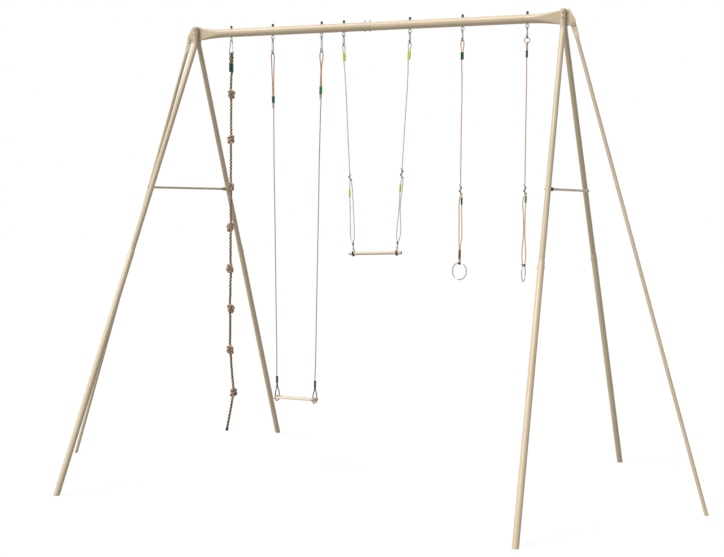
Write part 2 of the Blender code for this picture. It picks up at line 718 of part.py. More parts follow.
# Ropes
def smooth_route(route):
    # One smooth curve through the route's points, divided more where it bends
    points = [Vector(point) for point in route]
    ways = [(after - before).normalized() for before, after in zip(points, points[1:])]
    tangents = [ways[0]]
    for index in range(1, len(points) - 1):
        before = (points[index] - points[index - 1]).length
        after = (points[index + 1] - points[index]).length
        tangents.append((ways[index - 1] * after + ways[index] * before).normalized())
    tangents.append(ways[-1])
    line = [points[0]]
    for index, way in enumerate(ways):
        first, last = points[index], points[index + 1]
        length = (last - first).length
        bend = max(tangents[index].angle(way), tangents[index + 1].angle(way))
        steps = max(1, math.ceil(2 * bend / ROPE_TURN))
        for step in range(1, steps + 1):
            share = step / steps
            square, cube = share ** 2, share ** 3
            line.append(first * (2 * cube - 3 * square + 1) + last * (3 * square - 2 * cube)
                        + tangents[index] * length * (cube - 2 * square + share)
                        + tangents[index + 1] * length * (cube - square))
    return line


def over(centre, along, radius):
    # Over a wire, from its minus side to its plus side
    return arc(centre, along, Z, radius, 180, 0, 4)


def under(centre, along, radius):
    # Under a bar, from its plus side to its minus side
    return arc(centre, along, -Z, radius, 0, 180, 4)


STRAND = ROPE_RADIUS + STRAND_GAP / 2


def rope_line(top_x, foot_x, foot_z, hook_z=HOOK_FOOT_Z):
    # Where a rope that hangs straight from its hook is at a height
    def place(z, across=0.0, forward=0.0):
        share = (hook_z - z) / (hook_z - foot_z)
        return Vector((top_x + (foot_x - top_x) * share + across, forward, z))
    return place


def sleeve(name, place, low, high, along, wall, finish):
    # An oval tube round two strands side by side
    inside = ROPE_RADIUS + ROPE_TOUCH
    ends = place(low), place(high)
    thin = along.cross(Z)
    outer = [pressed_section(end, along, thin, inside + wall, STRAND, SLEEVE_SIDES) for end in ends]
    inner = [pressed_section(end, along, thin, inside, STRAND, SLEEVE_SIDES) for end in ends]
    return smooth(loft(name, outer, inner, finish))


def top_loop(place, foot_z, bend, along, width, close_z, spread_z):
    # From the tail's side of the sleeve, over the hook or link, and back to the rope's side
    centre = place(foot_z)
    side = along * width
    tail = [place(close_z) - along * STRAND, place(spread_z) - side]
    back = [place(spread_z) + side, place(close_z) + along * STRAND]
    return tail + over(centre, along, bend) + back


# Low swing
HOOK_BEND = HOOK_RADIUS + ROPE_RADIUS + ROPE_TOUCH
LINK_BEND = LINK_WIRE_RADIUS + ROPE_RADIUS + ROPE_TOUCH
CLEAT_TOP = SEAT_Z + CLEAT_HEIGHT / 2
CLEAT_BOTTOM = SEAT_Z - CLEAT_HEIGHT / 2
HALF_HOLES = CLEAT_HOLE_SPREAD / 2
LOW_SLEEVES = {"left": (3.355, 3.413), "right": (3.422, 3.487)}
LOW_TAILS = {"left": 3.303, "right": 3.375}
LOW_LOOPS = {"left": (3.530, 3.720, 0.0125), "right": (3.690, 3.745, 0.0150)}
LOW_CLAMPS = {"left": (0.802, 0.863), "right": (0.784, 0.844)}


def low_rope(end_name, top_x, seat_x):
    place = rope_line(top_x, seat_x, CLEAT_TOP, LONG_HOOK_FOOT_Z)
    close_z, spread_z, width = LOW_LOOPS[end_name]
    sleeve_low, sleeve_high = LOW_SLEEVES[end_name]
    clamp_low, clamp_high = LOW_CLAMPS[end_name]
    foot = place(CLEAT_TOP)
    turn_y, turn_z = HALF_HOLES - CLEAT_BEND, CLEAT_BOTTOM - TOUCH
    route = [place(LOW_TAILS[end_name], -STRAND), place(sleeve_low, -STRAND), place(sleeve_high, -STRAND)]
    route += top_loop(place, LONG_HOOK_FOOT_Z, HOOK_BEND, X, width, close_z, spread_z)
    route += [place(sleeve_high, STRAND), place(sleeve_low, STRAND), place(sleeve_low - 0.12, 0.002)]
    route += [place(2.40), place(1.40), place(clamp_high + 0.10, 0, -0.001)]
    route += [place(clamp_high, 0, -STRAND), place(clamp_low, 0, -STRAND), place(LOW_SPLIT_Z, 0, -0.012)]
    route += [Vector((foot.x, -HALF_HOLES, CLEAT_TOP + rise)) for rise in (0.020, 0.004)]
    route += arc(Vector((foot.x, -turn_y, turn_z)), Y, Z, CLEAT_BEND, 180, 270, 2)
    route += arc(Vector((foot.x, turn_y, turn_z)), Y, Z, CLEAT_BEND, 270, 360, 2)
    route += [Vector((foot.x, HALF_HOLES, CLEAT_TOP + rise)) for rise in (0.004, 0.020)]
    route += [place(LOW_SPLIT_Z, 0, 0.012), place(clamp_low, 0, STRAND), place(clamp_high, 0, STRAND)]
    rope = wire(f"low_rope_{end_name}", smooth_route(route), ROPE_RADIUS, WIRE_SIDES, SWING_ROPE)
    grip = sleeve(f"low_sleeve_{end_name}", place, sleeve_low, sleeve_high, X, SLEEVE_WALL, GREEN)
    return rope, grip


def cleat(name, x, inward):
    made = box(name, (x - CLEAT_WIDTH / 2, -CLEAT_DEPTH / 2, CLEAT_BOTTOM),
               (x + CLEAT_WIDTH / 2, CLEAT_DEPTH / 2, CLEAT_TOP), WOOD)
    rounding = made.modifiers.new("rounding", "BEVEL")
    rounding.width = 0.008
    rounding.segments = 3
    hole = ROPE_RADIUS + ROPE_TOUCH + 0.0006
    for y in (-HALF_HOLES, HALF_HOLES):
        cut(made, cylinder(name + "_hole", (x, y, CLEAT_BOTTOM - 0.02), (x, y, CLEAT_TOP + 0.02), hole, 12))
    low = Vector((-0.02, -BOARD_DEPTH / 2 - SEAT_FIT, -BOARD_THICKNESS / 2 - SEAT_FIT))
    high = -low
    groove = box(name + "_groove", low, high)
    groove.location = (x + inward * (CLEAT_WIDTH / 2 + 0.02 - BOARD_TONGUE - SEAT_FIT), 0, SEAT_Z)
    cut(made, groove)
    return smooth(made)


low_pivot = pivot("low_swing_pivot", ((LOW_LEFT_X + LOW_RIGHT_X) / 2, 0, PIVOT_Z))
low_left = low_rope("left", LOW_LEFT_X, SEAT_ROPE_LEFT_X)
low_right = low_rope("right", LOW_RIGHT_X, SEAT_ROPE_RIGHT_X)
cleat_left = cleat("seat_cleat_left", SEAT_ROPE_LEFT_X, 1)
cleat_right = cleat("seat_cleat_right", SEAT_ROPE_RIGHT_X, -1)
board_ends = CLEAT_WIDTH / 2 - BOARD_TONGUE
board = box("seat_board", (SEAT_ROPE_LEFT_X + board_ends, -BOARD_DEPTH / 2, SEAT_Z - BOARD_THICKNESS / 2),
            (SEAT_ROPE_RIGHT_X - board_ends, BOARD_DEPTH / 2, SEAT_Z + BOARD_THICKNESS / 2), WOOD)
hang_on(low_pivot, hooks["low_left"], hooks["low_right"])
hang_on(low_pivot, *low_left, *low_right, cleat_left, cleat_right, board)


# Trapeze
BAR_BEND = BAR_DIAMETER / 2 + ROPE_RADIUS + ROPE_TOUCH
TRAPEZE_SLEEVES = {"left": (3.708, 3.775), "right": (3.702, 3.771)}
TRAPEZE_ADJUSTERS = {"left": (2.654, 2.708), "right": (2.672, 2.760)}
FOOT_STRAIGHT = 0.012
# How far the two strands hang apart below the adjuster: height, to the left, to the right
TRAPEZE_SPREAD = {
    "left": ((2.575, 0.009, 0.018), (2.427, 0.012, 0.019), (2.220, 0.019, 0.017), (2.132, 0.018, 0.011),
             (2.087, STRAND, STRAND), (2.060, STRAND, STRAND)),
    "right": ((2.610, 0.006, 0.0155), (2.500, STRAND, STRAND), (2.390, STRAND, STRAND),
              (2.290, 0.011, 0.017), (2.175, 0.013, 0.021), (2.145, 0.010, 0.015),
              (2.105, STRAND, STRAND), (2.075, STRAND, STRAND)),
}
BAR_START, BAR_END = Vector((BAR_LEFT_X, 0, BAR_LEFT_Z)), Vector((BAR_RIGHT_X, 0, BAR_RIGHT_Z))


def on_bar(x):
    return BAR_START.lerp(BAR_END, (x - BAR_LEFT_X) / (BAR_RIGHT_X - BAR_LEFT_X))


def adjusted_rope(name, place, foot, foot_bend, foot_along, loop_z, loop_along, loop_bend, sleeve_ends,
                  adjuster_ends, spread):
    # Up from the adjuster's short end: down round the foot, up through the adjuster and over the hook
    low, high = adjuster_ends
    sleeve_low, sleeve_high = sleeve_ends
    route = [place(high + 0.012) + X * STRAND, place(high) + X * STRAND, place(low) + X * STRAND]
    route += [place(z) + X * right for z, left, right in spread]
    route += [foot + foot_along * foot_bend + Z * FOOT_STRAIGHT]
    route += under(foot, foot_along, foot_bend)
    route += [foot - foot_along * foot_bend + Z * FOOT_STRAIGHT]
    route += [place(z) - X * left for z, left, right in reversed(spread)]
    route += [place(low) - X * STRAND, place(high) - X * STRAND, place(high + 0.12)]
    route += [place((high + sleeve_low) / 2), place(sleeve_low - 0.12)]
    route += [place(sleeve_low) - loop_along * STRAND, place(sleeve_high) - loop_along * STRAND]
    centre = place(HOOK_FOOT_Z)
    centre.z = loop_z
    route += over(centre, loop_along, loop_bend)
    route += [place(sleeve_high) + loop_along * STRAND, place(sleeve_low + 0.006) + loop_along * STRAND]
    return wire(name, smooth_route(route), ROPE_RADIUS, WIRE_SIDES, SWING_ROPE)


def trapeze_side(end_name, top_x, bar_x):
    foot = on_bar(bar_x)
    place = rope_line(top_x, bar_x, foot.z)
    rope = adjusted_rope(f"trapeze_rope_{end_name}", place, foot, BAR_BEND, Y, HOOK_FOOT_Z, X, HOOK_BEND,
                         TRAPEZE_SLEEVES[end_name], TRAPEZE_ADJUSTERS[end_name], TRAPEZE_SPREAD[end_name])
    grip = sleeve(f"trapeze_adjuster_{end_name}", place, *TRAPEZE_ADJUSTERS[end_name], X, ADJUSTER_WALL,
                  ADJUSTER)
    return rope, grip


trapeze_pivot = pivot("trapeze_pivot", ((TRAPEZE_LEFT_X + TRAPEZE_RIGHT_X) / 2, 0, PIVOT_Z))
trapeze_left = trapeze_side("left", TRAPEZE_LEFT_X, BAR_ROPE_LEFT_X)
trapeze_right = trapeze_side("right", TRAPEZE_RIGHT_X, BAR_ROPE_RIGHT_X)
bar = cylinder("trapeze_bar", BAR_START, BAR_END, BAR_DIAMETER / 2, TUBE_SIDES, WOOD)
bar_edge = bar.modifiers.new("edge", "BEVEL")
bar_edge.width = 0.003
bar_edge.segments = 2
smooth(bar)
hang_on(trapeze_pivot, *trapeze_left, *trapeze_right, bar, hooks["trapeze_left"], hooks["trapeze_right"])


# Gym rings
RING_RADIUS = (RING_DIAMETER - RING_WIRE) / 2
RING_TOP_Z = RING_CENTRE_Z + RING_RADIUS
RING_BEND = RING_WIRE / 2 + ROPE_RADIUS + ROPE_TOUCH
RING_SLEEVES = {"left": (3.683, 3.744), "right": (3.681, 3.740)}
RING_ADJUSTERS = {"left": (2.536, 2.616), "right": (2.540, 2.620)}
RING_SPREAD = {
    "left": ((2.478, 0.009, 0.0125), (2.320, 0.009, 0.014), (2.190, 0.008, 0.018), (2.110, 0.006, 0.010),
             (2.060, STRAND, STRAND), (1.990, STRAND, STRAND)),
    "right": ((2.497, 0.013, 0.010), (2.340, STRAND, STRAND), (2.190, STRAND, STRAND),
              (2.060, 0.016, 0.015), (2.000, 0.016, 0.016)),
}


def gym_ring(end_name, x, turn, loop_z, loop_along, loop_bend):
    normal = Vector((math.sin(turn), math.cos(turn), 0))
    foot = Vector((x, 0, RING_TOP_Z))
    place = rope_line(x, x, foot.z)
    ring = torus(f"gym_ring_{end_name}", (x, 0, RING_CENTRE_Z), RING_RADIUS, RING_WIRE / 2, -turn,
                 RING_SIDES, STEEL)
    rope = adjusted_rope(f"ring_rope_{end_name}", place, foot, RING_BEND, normal, loop_z, loop_along,
                         loop_bend, RING_SLEEVES[end_name], RING_ADJUSTERS[end_name], RING_SPREAD[end_name])
    grip = sleeve(f"ring_adjuster_{end_name}", place, *RING_ADJUSTERS[end_name], X, ADJUSTER_WALL, ADJUSTER)
    return rope, grip, ring


ring_left = gym_ring("left", RING_LEFT_X, RING_LEFT_TURN, HOOK_FOOT_Z, X, HOOK_BEND)
ring_right = gym_ring("right", RING_RIGHT_X, math.radians(90), LINK_FOOT_Z, Y, LINK_BEND)
ring_sets = ("left", RING_LEFT_X, ring_left, ()), ("right", RING_RIGHT_X, ring_right, (link,))
for end_name, x, (rope, grip, ring), extra in ring_sets:
    hang_on(pivot(f"ring_hanger_{end_name}_pivot", (x, 0, PIVOT_Z)), hooks[f"ring_{end_name}"])
    hang_on(pivot(f"ring_line_{end_name}_pivot", (x, 0, HOOK_FOOT_Z)), rope, grip, *extra)
    hang_on(pivot(f"ring_{end_name}_pivot", (x, 0, RING_TOP_Z)), ring)


# Climbing rope
CLIMB_BEND = HOOK_RADIUS + CLIMB_RADIUS + ROPE_TOUCH
KNOT_SHAPE = ((-0.50, 1.0), (-0.26, 0.0), (0.26, 0.0), (0.50, 1.0))
CLIMB_TAIL = ((-1.378, 0.0, 0.860), (-1.351, 0.0, 0.680), (-1.360, 0.0, 0.610), (-1.385, 0.0, 0.510),
              (-1.407, 0.0, 0.420), (-1.424, 0.0, 0.322))


def climbing_rope():
    foot_z = LONG_HOOK_FOOT_Z
    low, high = CLIMB_SLEEVE
    centre = Vector((CLIMB_X, 0, foot_z))
    strand = CLIMB_RADIUS + STRAND_GAP / 2
    start = [Vector((CLIMB_X, -strand, z)) for z in (low + 0.010, high - 0.020, high + 0.006)]
    loop = over(centre, Y, CLIMB_BEND)
    rope = [Vector((CLIMB_X, strand, z)) for z in (high + 0.006, high - 0.020, low + 0.010, low - 0.006)]
    rope += [Vector((CLIMB_X, 0.002, low - 0.080))]
    route = smooth_route(start + loop + rope)
    swell = [1.0] * len(route)
    most = KNOT_WIDTH / CLIMB_DIAMETER
    for z in KNOT_Z[:-1]:
        for rise, tuck in KNOT_SHAPE:
            route.append(Vector((CLIMB_X + 0.004 * math.sin(z * 9), 0, z - rise * KNOT_HEIGHT)))
            swell.append(most + (1.0 - most) * tuck)
    for x, y, z in CLIMB_TAIL:
        route.append(Vector((x, y, z)))
        swell.append(1.0)
    at = len(route) - len(CLIMB_TAIL) + 1
    knot_z = KNOT_Z[-1]
    knot = [Vector((CLIMB_TAIL[1][0], 0, knot_z - rise * KNOT_HEIGHT)) for rise, tuck in KNOT_SHAPE]
    route[at:at + 1] = knot
    swell[at:at + 1] = [most + (1.0 - most) * tuck for rise, tuck in KNOT_SHAPE]
    return wire("climbing_rope", route, CLIMB_RADIUS, WIRE_SIDES, CLIMB_ROPE, swell=swell)


def climbing_sleeve():
    inside = CLIMB_RADIUS + ROPE_TOUCH
    strand = CLIMB_RADIUS + STRAND_GAP / 2
    ends = [Vector((CLIMB_X, 0, z)) for z in CLIMB_SLEEVE]
    outer = [pressed_section(end, Y, X, inside + SLEEVE_WALL, strand, SLEEVE_SIDES) for end in ends]
    inner = [pressed_section(end, Y, X, inside, strand, SLEEVE_SIDES) for end in ends]
    return smooth(loft("climbing_sleeve", outer, inner, GREEN))


hang_on(pivot("climbing_hook_pivot", (CLIMB_X, 0, PIVOT_Z)), hooks["climb"])
climb_pivot = pivot("climbing_rope_pivot", (CLIMB_X, 0, LONG_HOOK_FOOT_Z))
hang_on(climb_pivot, climbing_rope(), climbing_sleeve())
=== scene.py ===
# %% [markdown]
# # A swing frame, piece by piece
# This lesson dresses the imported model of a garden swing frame: a tube frame that
# carries a knotted climbing rope, a board swing, a trapeze and a pair of gym rings.
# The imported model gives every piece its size, its place and the body that it moves
# with. Here each one gets the shape and the finish that the eye sees. All lengths are
# metres, the front of the frame is -Y, and the ground is at height zero.

# %% Load the frame
import math

import bpy
import numpy as np
from mathutils import Matrix, Vector


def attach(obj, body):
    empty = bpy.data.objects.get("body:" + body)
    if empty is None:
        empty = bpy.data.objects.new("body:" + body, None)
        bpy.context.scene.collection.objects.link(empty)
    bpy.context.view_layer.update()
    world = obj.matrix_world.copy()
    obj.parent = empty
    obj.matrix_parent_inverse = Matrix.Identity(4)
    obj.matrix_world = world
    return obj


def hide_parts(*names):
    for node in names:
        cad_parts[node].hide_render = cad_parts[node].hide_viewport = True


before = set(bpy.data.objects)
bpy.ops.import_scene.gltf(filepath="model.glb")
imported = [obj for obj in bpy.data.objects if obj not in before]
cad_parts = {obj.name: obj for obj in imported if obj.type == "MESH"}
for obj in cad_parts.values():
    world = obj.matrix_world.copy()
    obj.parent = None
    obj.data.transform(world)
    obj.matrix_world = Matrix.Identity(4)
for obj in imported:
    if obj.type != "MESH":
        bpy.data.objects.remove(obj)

scene = bpy.context.scene
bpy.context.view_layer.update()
X, Y, Z = Vector((1, 0, 0)), Vector((0, 1, 0)), Vector((0, 0, 1))

# %% [markdown]
# ## The camera
# The picture was taken from the front right, from a little above head height, with a
# long lens: the legs' feet spread only a little. A camera could be aimed with a
# tracking constraint, but three angles and a place say it exactly, and they can be read
# back. The focal length is written in pixels of the 724 pixel wide picture, and becomes
# millimetres on a 36 mm wide sensor.

# %% Camera
PICTURE_WIDTH = 724
FOCAL_PIXELS = 1395.9
CAMERA_PLACE = Vector((5.0475, -11.2652, 2.4612))
YAW, PITCH, ROLL = (math.radians(angle) for angle in (24.3555, -3.1322, 0.5395))

forward = Vector((-math.sin(YAW) * math.cos(PITCH), math.cos(YAW) * math.cos(PITCH), math.sin(PITCH)))
level = Vector((math.cos(YAW), math.sin(YAW), 0.0))
above = level.cross(forward)
right = level * math.cos(ROLL) + above * math.sin(ROLL)
upward = above * math.cos(ROLL) - level * math.sin(ROLL)

lens = bpy.data.cameras.new("camera")
lens.sensor_width = 36.0
lens.lens = FOCAL_PIXELS * lens.sensor_width / PICTURE_WIDTH
lens.clip_end = 200.0
camera = bpy.data.objects.new("camera", lens)
axes = Matrix((right, upward, -forward)).transposed()
camera.matrix_world = Matrix.Translation(CAMERA_PLACE) @ axes.to_4x4()
scene.collection.objects.link(camera)
scene.camera = camera
print("lens", round(lens.lens, 2), "mm")

# %% Small tools for working as by hand
def deselect():
    if bpy.context.object is not None and bpy.context.object.mode != "OBJECT":
        bpy.ops.object.mode_set(mode="OBJECT")
    bpy.ops.object.select_all(action="DESELECT")


def only(piece):
    deselect()
    piece.select_set(True)
    bpy.context.view_layer.objects.active = piece


def named(name):
    # The object that an operator has just added, with its place put into its mesh
    piece = bpy.context.object
    piece.name = piece.data.name = name
    only(piece)
    bpy.ops.object.transform_apply(location=True, rotation=True, scale=True)
    return piece


def modify(piece, kind, **settings):
    only(piece)
    modifier = piece.modifiers.new(kind.lower(), kind)
    for setting, value in settings.items():
        setattr(modifier, setting, value)
    bpy.ops.object.modifier_apply(modifier=modifier.name)
    return piece


def soften(piece, width, segments=2, sharper_than=50):
    return modify(piece, "BEVEL", width=width, segments=segments, limit_method="ANGLE",
                  angle_limit=math.radians(sharper_than))


def smooth(piece, angle=35):
    only(piece)
    bpy.ops.object.shade_smooth_by_angle(angle=math.radians(angle))
    return piece


def face_out(piece):
    only(piece)
    bpy.ops.object.mode_set(mode="EDIT")
    bpy.ops.mesh.select_all(action="SELECT")
    bpy.ops.mesh.remove_doubles(threshold=0.00001)
    bpy.ops.mesh.normals_make_consistent(inside=False)
    bpy.ops.object.mode_set(mode="OBJECT")
    return piece


def round_edges(piece, chosen, width, segments=3):
    # Bevels only the edges whose two ends the rule picks
    only(piece)
    bpy.context.tool_settings.mesh_select_mode = (False, True, False)
    bpy.ops.object.mode_set(mode="EDIT")
    bpy.ops.mesh.select_all(action="DESELECT")
    bpy.ops.object.mode_set(mode="OBJECT")
    for edge in piece.data.edges:
        edge.select = all(chosen(piece.data.vertices[index].co) for index in edge.vertices)
    bpy.ops.object.mode_set(mode="EDIT")
    bpy.ops.mesh.bevel(offset=width, segments=segments)
    bpy.ops.object.mode_set(mode="OBJECT")
    return piece


def put_away(*pieces):
    for piece in pieces:
        bpy.data.objects.remove(piece, do_unlink=True)


def merged(name, pieces):
    deselect()
    for piece in pieces:
        piece.select_set(True)
    bpy.context.view_layer.objects.active = pieces[0]
    bpy.ops.object.join()
    pieces[0].name = pieces[0].data.name = name
    return pieces[0]


def placed_copy(piece, name, place):
    made = bpy.data.objects.new(name, piece.data.copy())
    made.data.name = name
    made.data.transform(place)
    scene.collection.objects.link(made)
    return made


def dress(piece, finish, body, slot, *nodes):
    # Its material, the body that it moves with, and the nodes that it stands for; the slot is not used
    piece.data.materials.clear()
    piece.data.materials.append(finish)
    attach(piece, body)
    if nodes:
        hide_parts(*nodes)
    return piece


# %% Small tools for finishes
def new_finish(name, roughness, metallic=0.0):
    finish = bpy.data.materials.new(name)
    finish.use_nodes = True
    shader = finish.node_tree.nodes["Principled BSDF"]
    shader.inputs["Roughness"].default_value = roughness
    shader.inputs["Metallic"].default_value = metallic
    return finish, finish.node_tree, shader


def coordinates(tree, scale=(1, 1, 1)):
    source = tree.nodes.new("ShaderNodeTexCoord")
    mapping = tree.nodes.new("ShaderNodeMapping")
    mapping.inputs["Scale"].default_value = scale
    tree.links.new(source.outputs["Object"], mapping.inputs["Vector"])
    return mapping.outputs["Vector"]


def noise(tree, where, scale, detail=3.0, roughness=0.5):
    made = tree.nodes.new("ShaderNodeTexNoise")
    made.inputs["Scale"].default_value = scale
    made.inputs["Detail"].default_value = detail
    made.inputs["Roughness"].default_value = roughness
    tree.links.new(where, made.inputs["Vector"])
    return made.outputs["Fac"]


def ramp(tree, value, *stops):
    made = tree.nodes.new("ShaderNodeValToRGB")
    made.color_ramp.elements[0].position, made.color_ramp.elements[0].color = stops[0][0], (*stops[0][1], 1)
    made.color_ramp.elements[1].position, made.color_ramp.elements[1].color = stops[-1][0], (*stops[-1][1], 1)
    for position, colour in stops[1:-1]:
        made.color_ramp.elements.new(position).color = (*colour, 1)
    tree.links.new(value, made.inputs["Fac"])
    return made.outputs["Color"]


def arithmetic(tree, operation, first, second=None):
    made = tree.nodes.new("ShaderNodeMath")
    made.operation = operation
    for socket, value in zip(made.inputs, (first, second)):
        if isinstance(value, (int, float)):
            socket.default_value = value
        elif value is not None:
            tree.links.new(value, socket)
    return made.outputs[0]


def mixed(tree, share, first, second, way="MIX"):
    made = tree.nodes.new("ShaderNodeMix")
    made.data_type = "RGBA"
    made.blend_type = way
    sockets = [socket for socket in made.inputs if socket.type == "RGBA"]
    if isinstance(share, (int, float)):
        made.inputs[0].default_value = share
    else:
        tree.links.new(share, made.inputs[0])
    for socket, value in zip(sockets, (first, second)):
        if isinstance(value, tuple):
            socket.default_value = (*value, 1)
        else:
            tree.links.new(value, socket)
    return [socket for socket in made.outputs if socket.type == "RGBA"][0]


def relief(tree, shader, height, strength, distance):
    made = tree.nodes.new("ShaderNodeBump")
    made.inputs["Strength"].default_value = strength
    made.inputs["Distance"].default_value = distance
    tree.links.new(height, made.inputs["Height"])
    tree.links.new(made.outputs["Normal"], shader.inputs["Normal"])


# %% [markdown]
# ## Light and ground
# The frame stands on white, as in a catalogue. One broad lamp, high on the front left,
# gives the tubes their bright band. The sky's own light is strong on that side and weak
# on the other, so the tubes' right sides turn dark, as in the picture. The ground shows
# white to the camera but still takes a soft shadow, because part of its white is its
# own and part is lit.

# %% Sky
scene.view_settings.view_transform = "Standard"
sky = bpy.data.worlds.new("studio_sky")
scene.world = sky
sky.use_nodes = True
tree = sky.node_tree
BRIGHT_SIDE = Vector((-0.52, -0.58, 0.63))
source = tree.nodes.new("ShaderNodeTexCoord")
facing = tree.nodes.new("ShaderNodeVectorMath")
facing.operation = "DOT_PRODUCT"
facing.inputs[1].default_value = BRIGHT_SIDE
tree.links.new(source.outputs["Generated"], facing.inputs[0])
share = arithmetic(tree, "MULTIPLY", arithmetic(tree, "ADD", facing.outputs["Value"], 1.0), 0.5)
fill = tree.nodes["Background"]
fill.inputs["Color"].default_value = (1.0, 0.975, 0.94, 1.0)
strength = arithmetic(tree, "MULTIPLY", arithmetic(tree, "POWER", share, 1.8), 1.05)
tree.links.new(arithmetic(tree, "ADD", strength, 0.04), fill.inputs["Strength"])
white = tree.nodes.new("ShaderNodeBackground")
white.inputs["Color"].default_value = (1.0, 1.0, 1.0, 1.0)
white.inputs["Strength"].default_value = 1.0
rays = tree.nodes.new("ShaderNodeLightPath")
seen = arithmetic(tree, "MAXIMUM", rays.outputs["Is Camera Ray"], rays.outputs["Is Glossy Ray"])
seen = arithmetic(tree, "MAXIMUM", seen, rays.outputs["Is Transmission Ray"])
blend = tree.nodes.new("ShaderNodeMixShader")
tree.links.new(seen, blend.inputs[0])
tree.links.new(fill.outputs[0], blend.inputs[1])
tree.links.new(white.outputs[0], blend.inputs[2])
tree.links.new(blend.outputs[0], tree.nodes["World Output"].inputs["Surface"])

# %% Lamp
KEY_FROM = Vector((-3.6, -5.4, 8.4))
key = bpy.data.lights.new("key", "SUN")
key.energy = 2.1
key.angle = math.radians(22)
key.color = (1.0, 0.985, 0.955)
lamp = bpy.data.objects.new("key", key)
lamp.location = KEY_FROM
lamp.rotation_euler = KEY_FROM.to_track_quat("Z", "Y").to_euler()
scene.collection.objects.link(lamp)

# %% Ground
GROUND_SIZE, GROUND_BELOW, GROUND_OWN_SHARE = 120.0, 0.0005, 0.90
deselect()
bpy.ops.mesh.primitive_plane_add(size=GROUND_SIZE, location=(0, 0, -GROUND_BELOW))
ground = named("ground")
paper, tree, shader = new_finish("white_ground", 0.9)
glow = tree.nodes.new("ShaderNodeEmission")
glow.inputs["Color"].default_value = (1, 1, 1, 1)
rays = tree.nodes.new("ShaderNodeLightPath")
seen = arithmetic(tree, "MAXIMUM", rays.outputs["Is Camera Ray"], rays.outputs["Is Glossy Ray"])
own = arithmetic(tree, "MULTIPLY", seen, GROUND_OWN_SHARE)
tree.links.new(mixed(tree, seen, (0.30, 0.28, 0.26), (0.94, 0.94, 0.93)), shader.inputs["Base Color"])
cover = tree.nodes.new("ShaderNodeMixShader")
tree.links.new(own, cover.inputs[0])
tree.links.new(shader.outputs[0], cover.inputs[1])
tree.links.new(glow.outputs[0], cover.inputs[2])
tree.links.new(cover.outputs[0], tree.nodes["Material Output"].inputs["Surface"])
ground.data.materials.append(paper)

# %% [markdown]
# ## Rope
# Laid rope is three strands twisted round each other. A plain tube with a picture of
# stripes would lie flat at the edges, so each strand is its own winding tube here. The
# strands follow one smooth line, and the line follows the same points as the imported
# model, so that the rope fits its hooks and sleeves.

# %% Rope sizes, as in the imported model
ROPE_DIAMETER = 0.011
ROPE_RADIUS = ROPE_DIAMETER / 2
STRAND = ROPE_RADIUS + 0.0004
CLIMB_DIAMETER = 0.024
CLIMB_RADIUS = CLIMB_DIAMETER / 2
CLIMB_STRAND = CLIMB_RADIUS + 0.0004
ROPE_TOUCH = 0.0008
HOOK_RADIUS = 0.004
LINK_WIRE_RADIUS = 0.0035
BAR_RADIUS = 0.015
RING_WIRE_RADIUS = 0.0055
PIVOT_Z = 3.9267
HOOK_FOOT_Z = 3.8392
LONG_HOOK_FOOT_Z = 3.7952
LINK_RADIUS = 0.0235
LINK_Z = 3.8237
LINK_FOOT_Z = LINK_Z - LINK_RADIUS
HOOK_BEND = HOOK_RADIUS + ROPE_RADIUS + ROPE_TOUCH
LINK_BEND = LINK_WIRE_RADIUS + ROPE_RADIUS + ROPE_TOUCH
BAR_BEND = BAR_RADIUS + ROPE_RADIUS + ROPE_TOUCH
RING_BEND = RING_WIRE_RADIUS + ROPE_RADIUS + ROPE_TOUCH
CLIMB_BEND = HOOK_RADIUS + CLIMB_RADIUS + ROPE_TOUCH


# %% One smooth line through a route's points
def arc(centre, along, up, radius, start, end, steps):
    angles = [math.radians(start + (end - start) * step / steps) for step in range(steps + 1)]
    return [centre + along * radius * math.cos(angle) + up * radius * math.sin(angle) for angle in angles]


def over(centre, along, radius):
    return arc(centre, along, Z, radius, 180, 0, 4)


def under(centre, along, radius):
    return arc(centre, along, -Z, radius, 0, 180, 4)


def smooth_route(route, finest=math.radians(5)):
    points = [Vector(point) for point in route]
    ways = [(after - before).normalized() for before, after in zip(points, points[1:])]
    tangents = [ways[0]]
    for index in range(1, len(points) - 1):
        before = (points[index] - points[index - 1]).length
        after = (points[index + 1] - points[index]).length
        tangents.append((ways[index - 1] * after + ways[index] * before).normalized())
    tangents.append(ways[-1])
    line = [points[0]]
    for index, way in enumerate(ways):
        first, last = points[index], points[index + 1]
        length = (last - first).length
        bend = max(tangents[index].angle(way), tangents[index + 1].angle(way))
        steps = max(2, math.ceil(2 * bend / finest))
        for step in range(1, steps + 1):
            share = step / steps
            square, cube = share ** 2, share ** 3
            line.append(first * (2 * cube - 3 * square + 1) + last * (3 * square - 2 * cube)
                        + tangents[index] * length * (cube - 2 * square + share)
                        + tangents[index + 1] * length * (cube - square))
    return np.array(line)


def along_line(line):
    return np.concatenate([[0.0], np.cumsum(np.linalg.norm(np.diff(line, axis=0), axis=1))])


def evenly(line, step):
    reach = along_line(line)
    places = np.linspace(0.0, reach[-1], max(2, round(reach[-1] / step)) + 1)
    return np.stack([np.interp(places, reach, line[:, axis]) for axis in range(3)], axis=1)


# %% Twist three strands along a line
def frames_along(line):
    # Two directions across the line at each point, carried along without twisting
    ways = np.gradient(line, axis=0)
    ways /= np.linalg.norm(ways, axis=1, keepdims=True)
    side = np.cross(ways[0], (0.31, 0.95, 0.05))
    sides = []
    for way in ways:
        side = side - way * side.dot(way)
        side = side / np.linalg.norm(side)
        sides.append(side)
    sides = np.array(sides)
    return sides, np.cross(ways, sides)


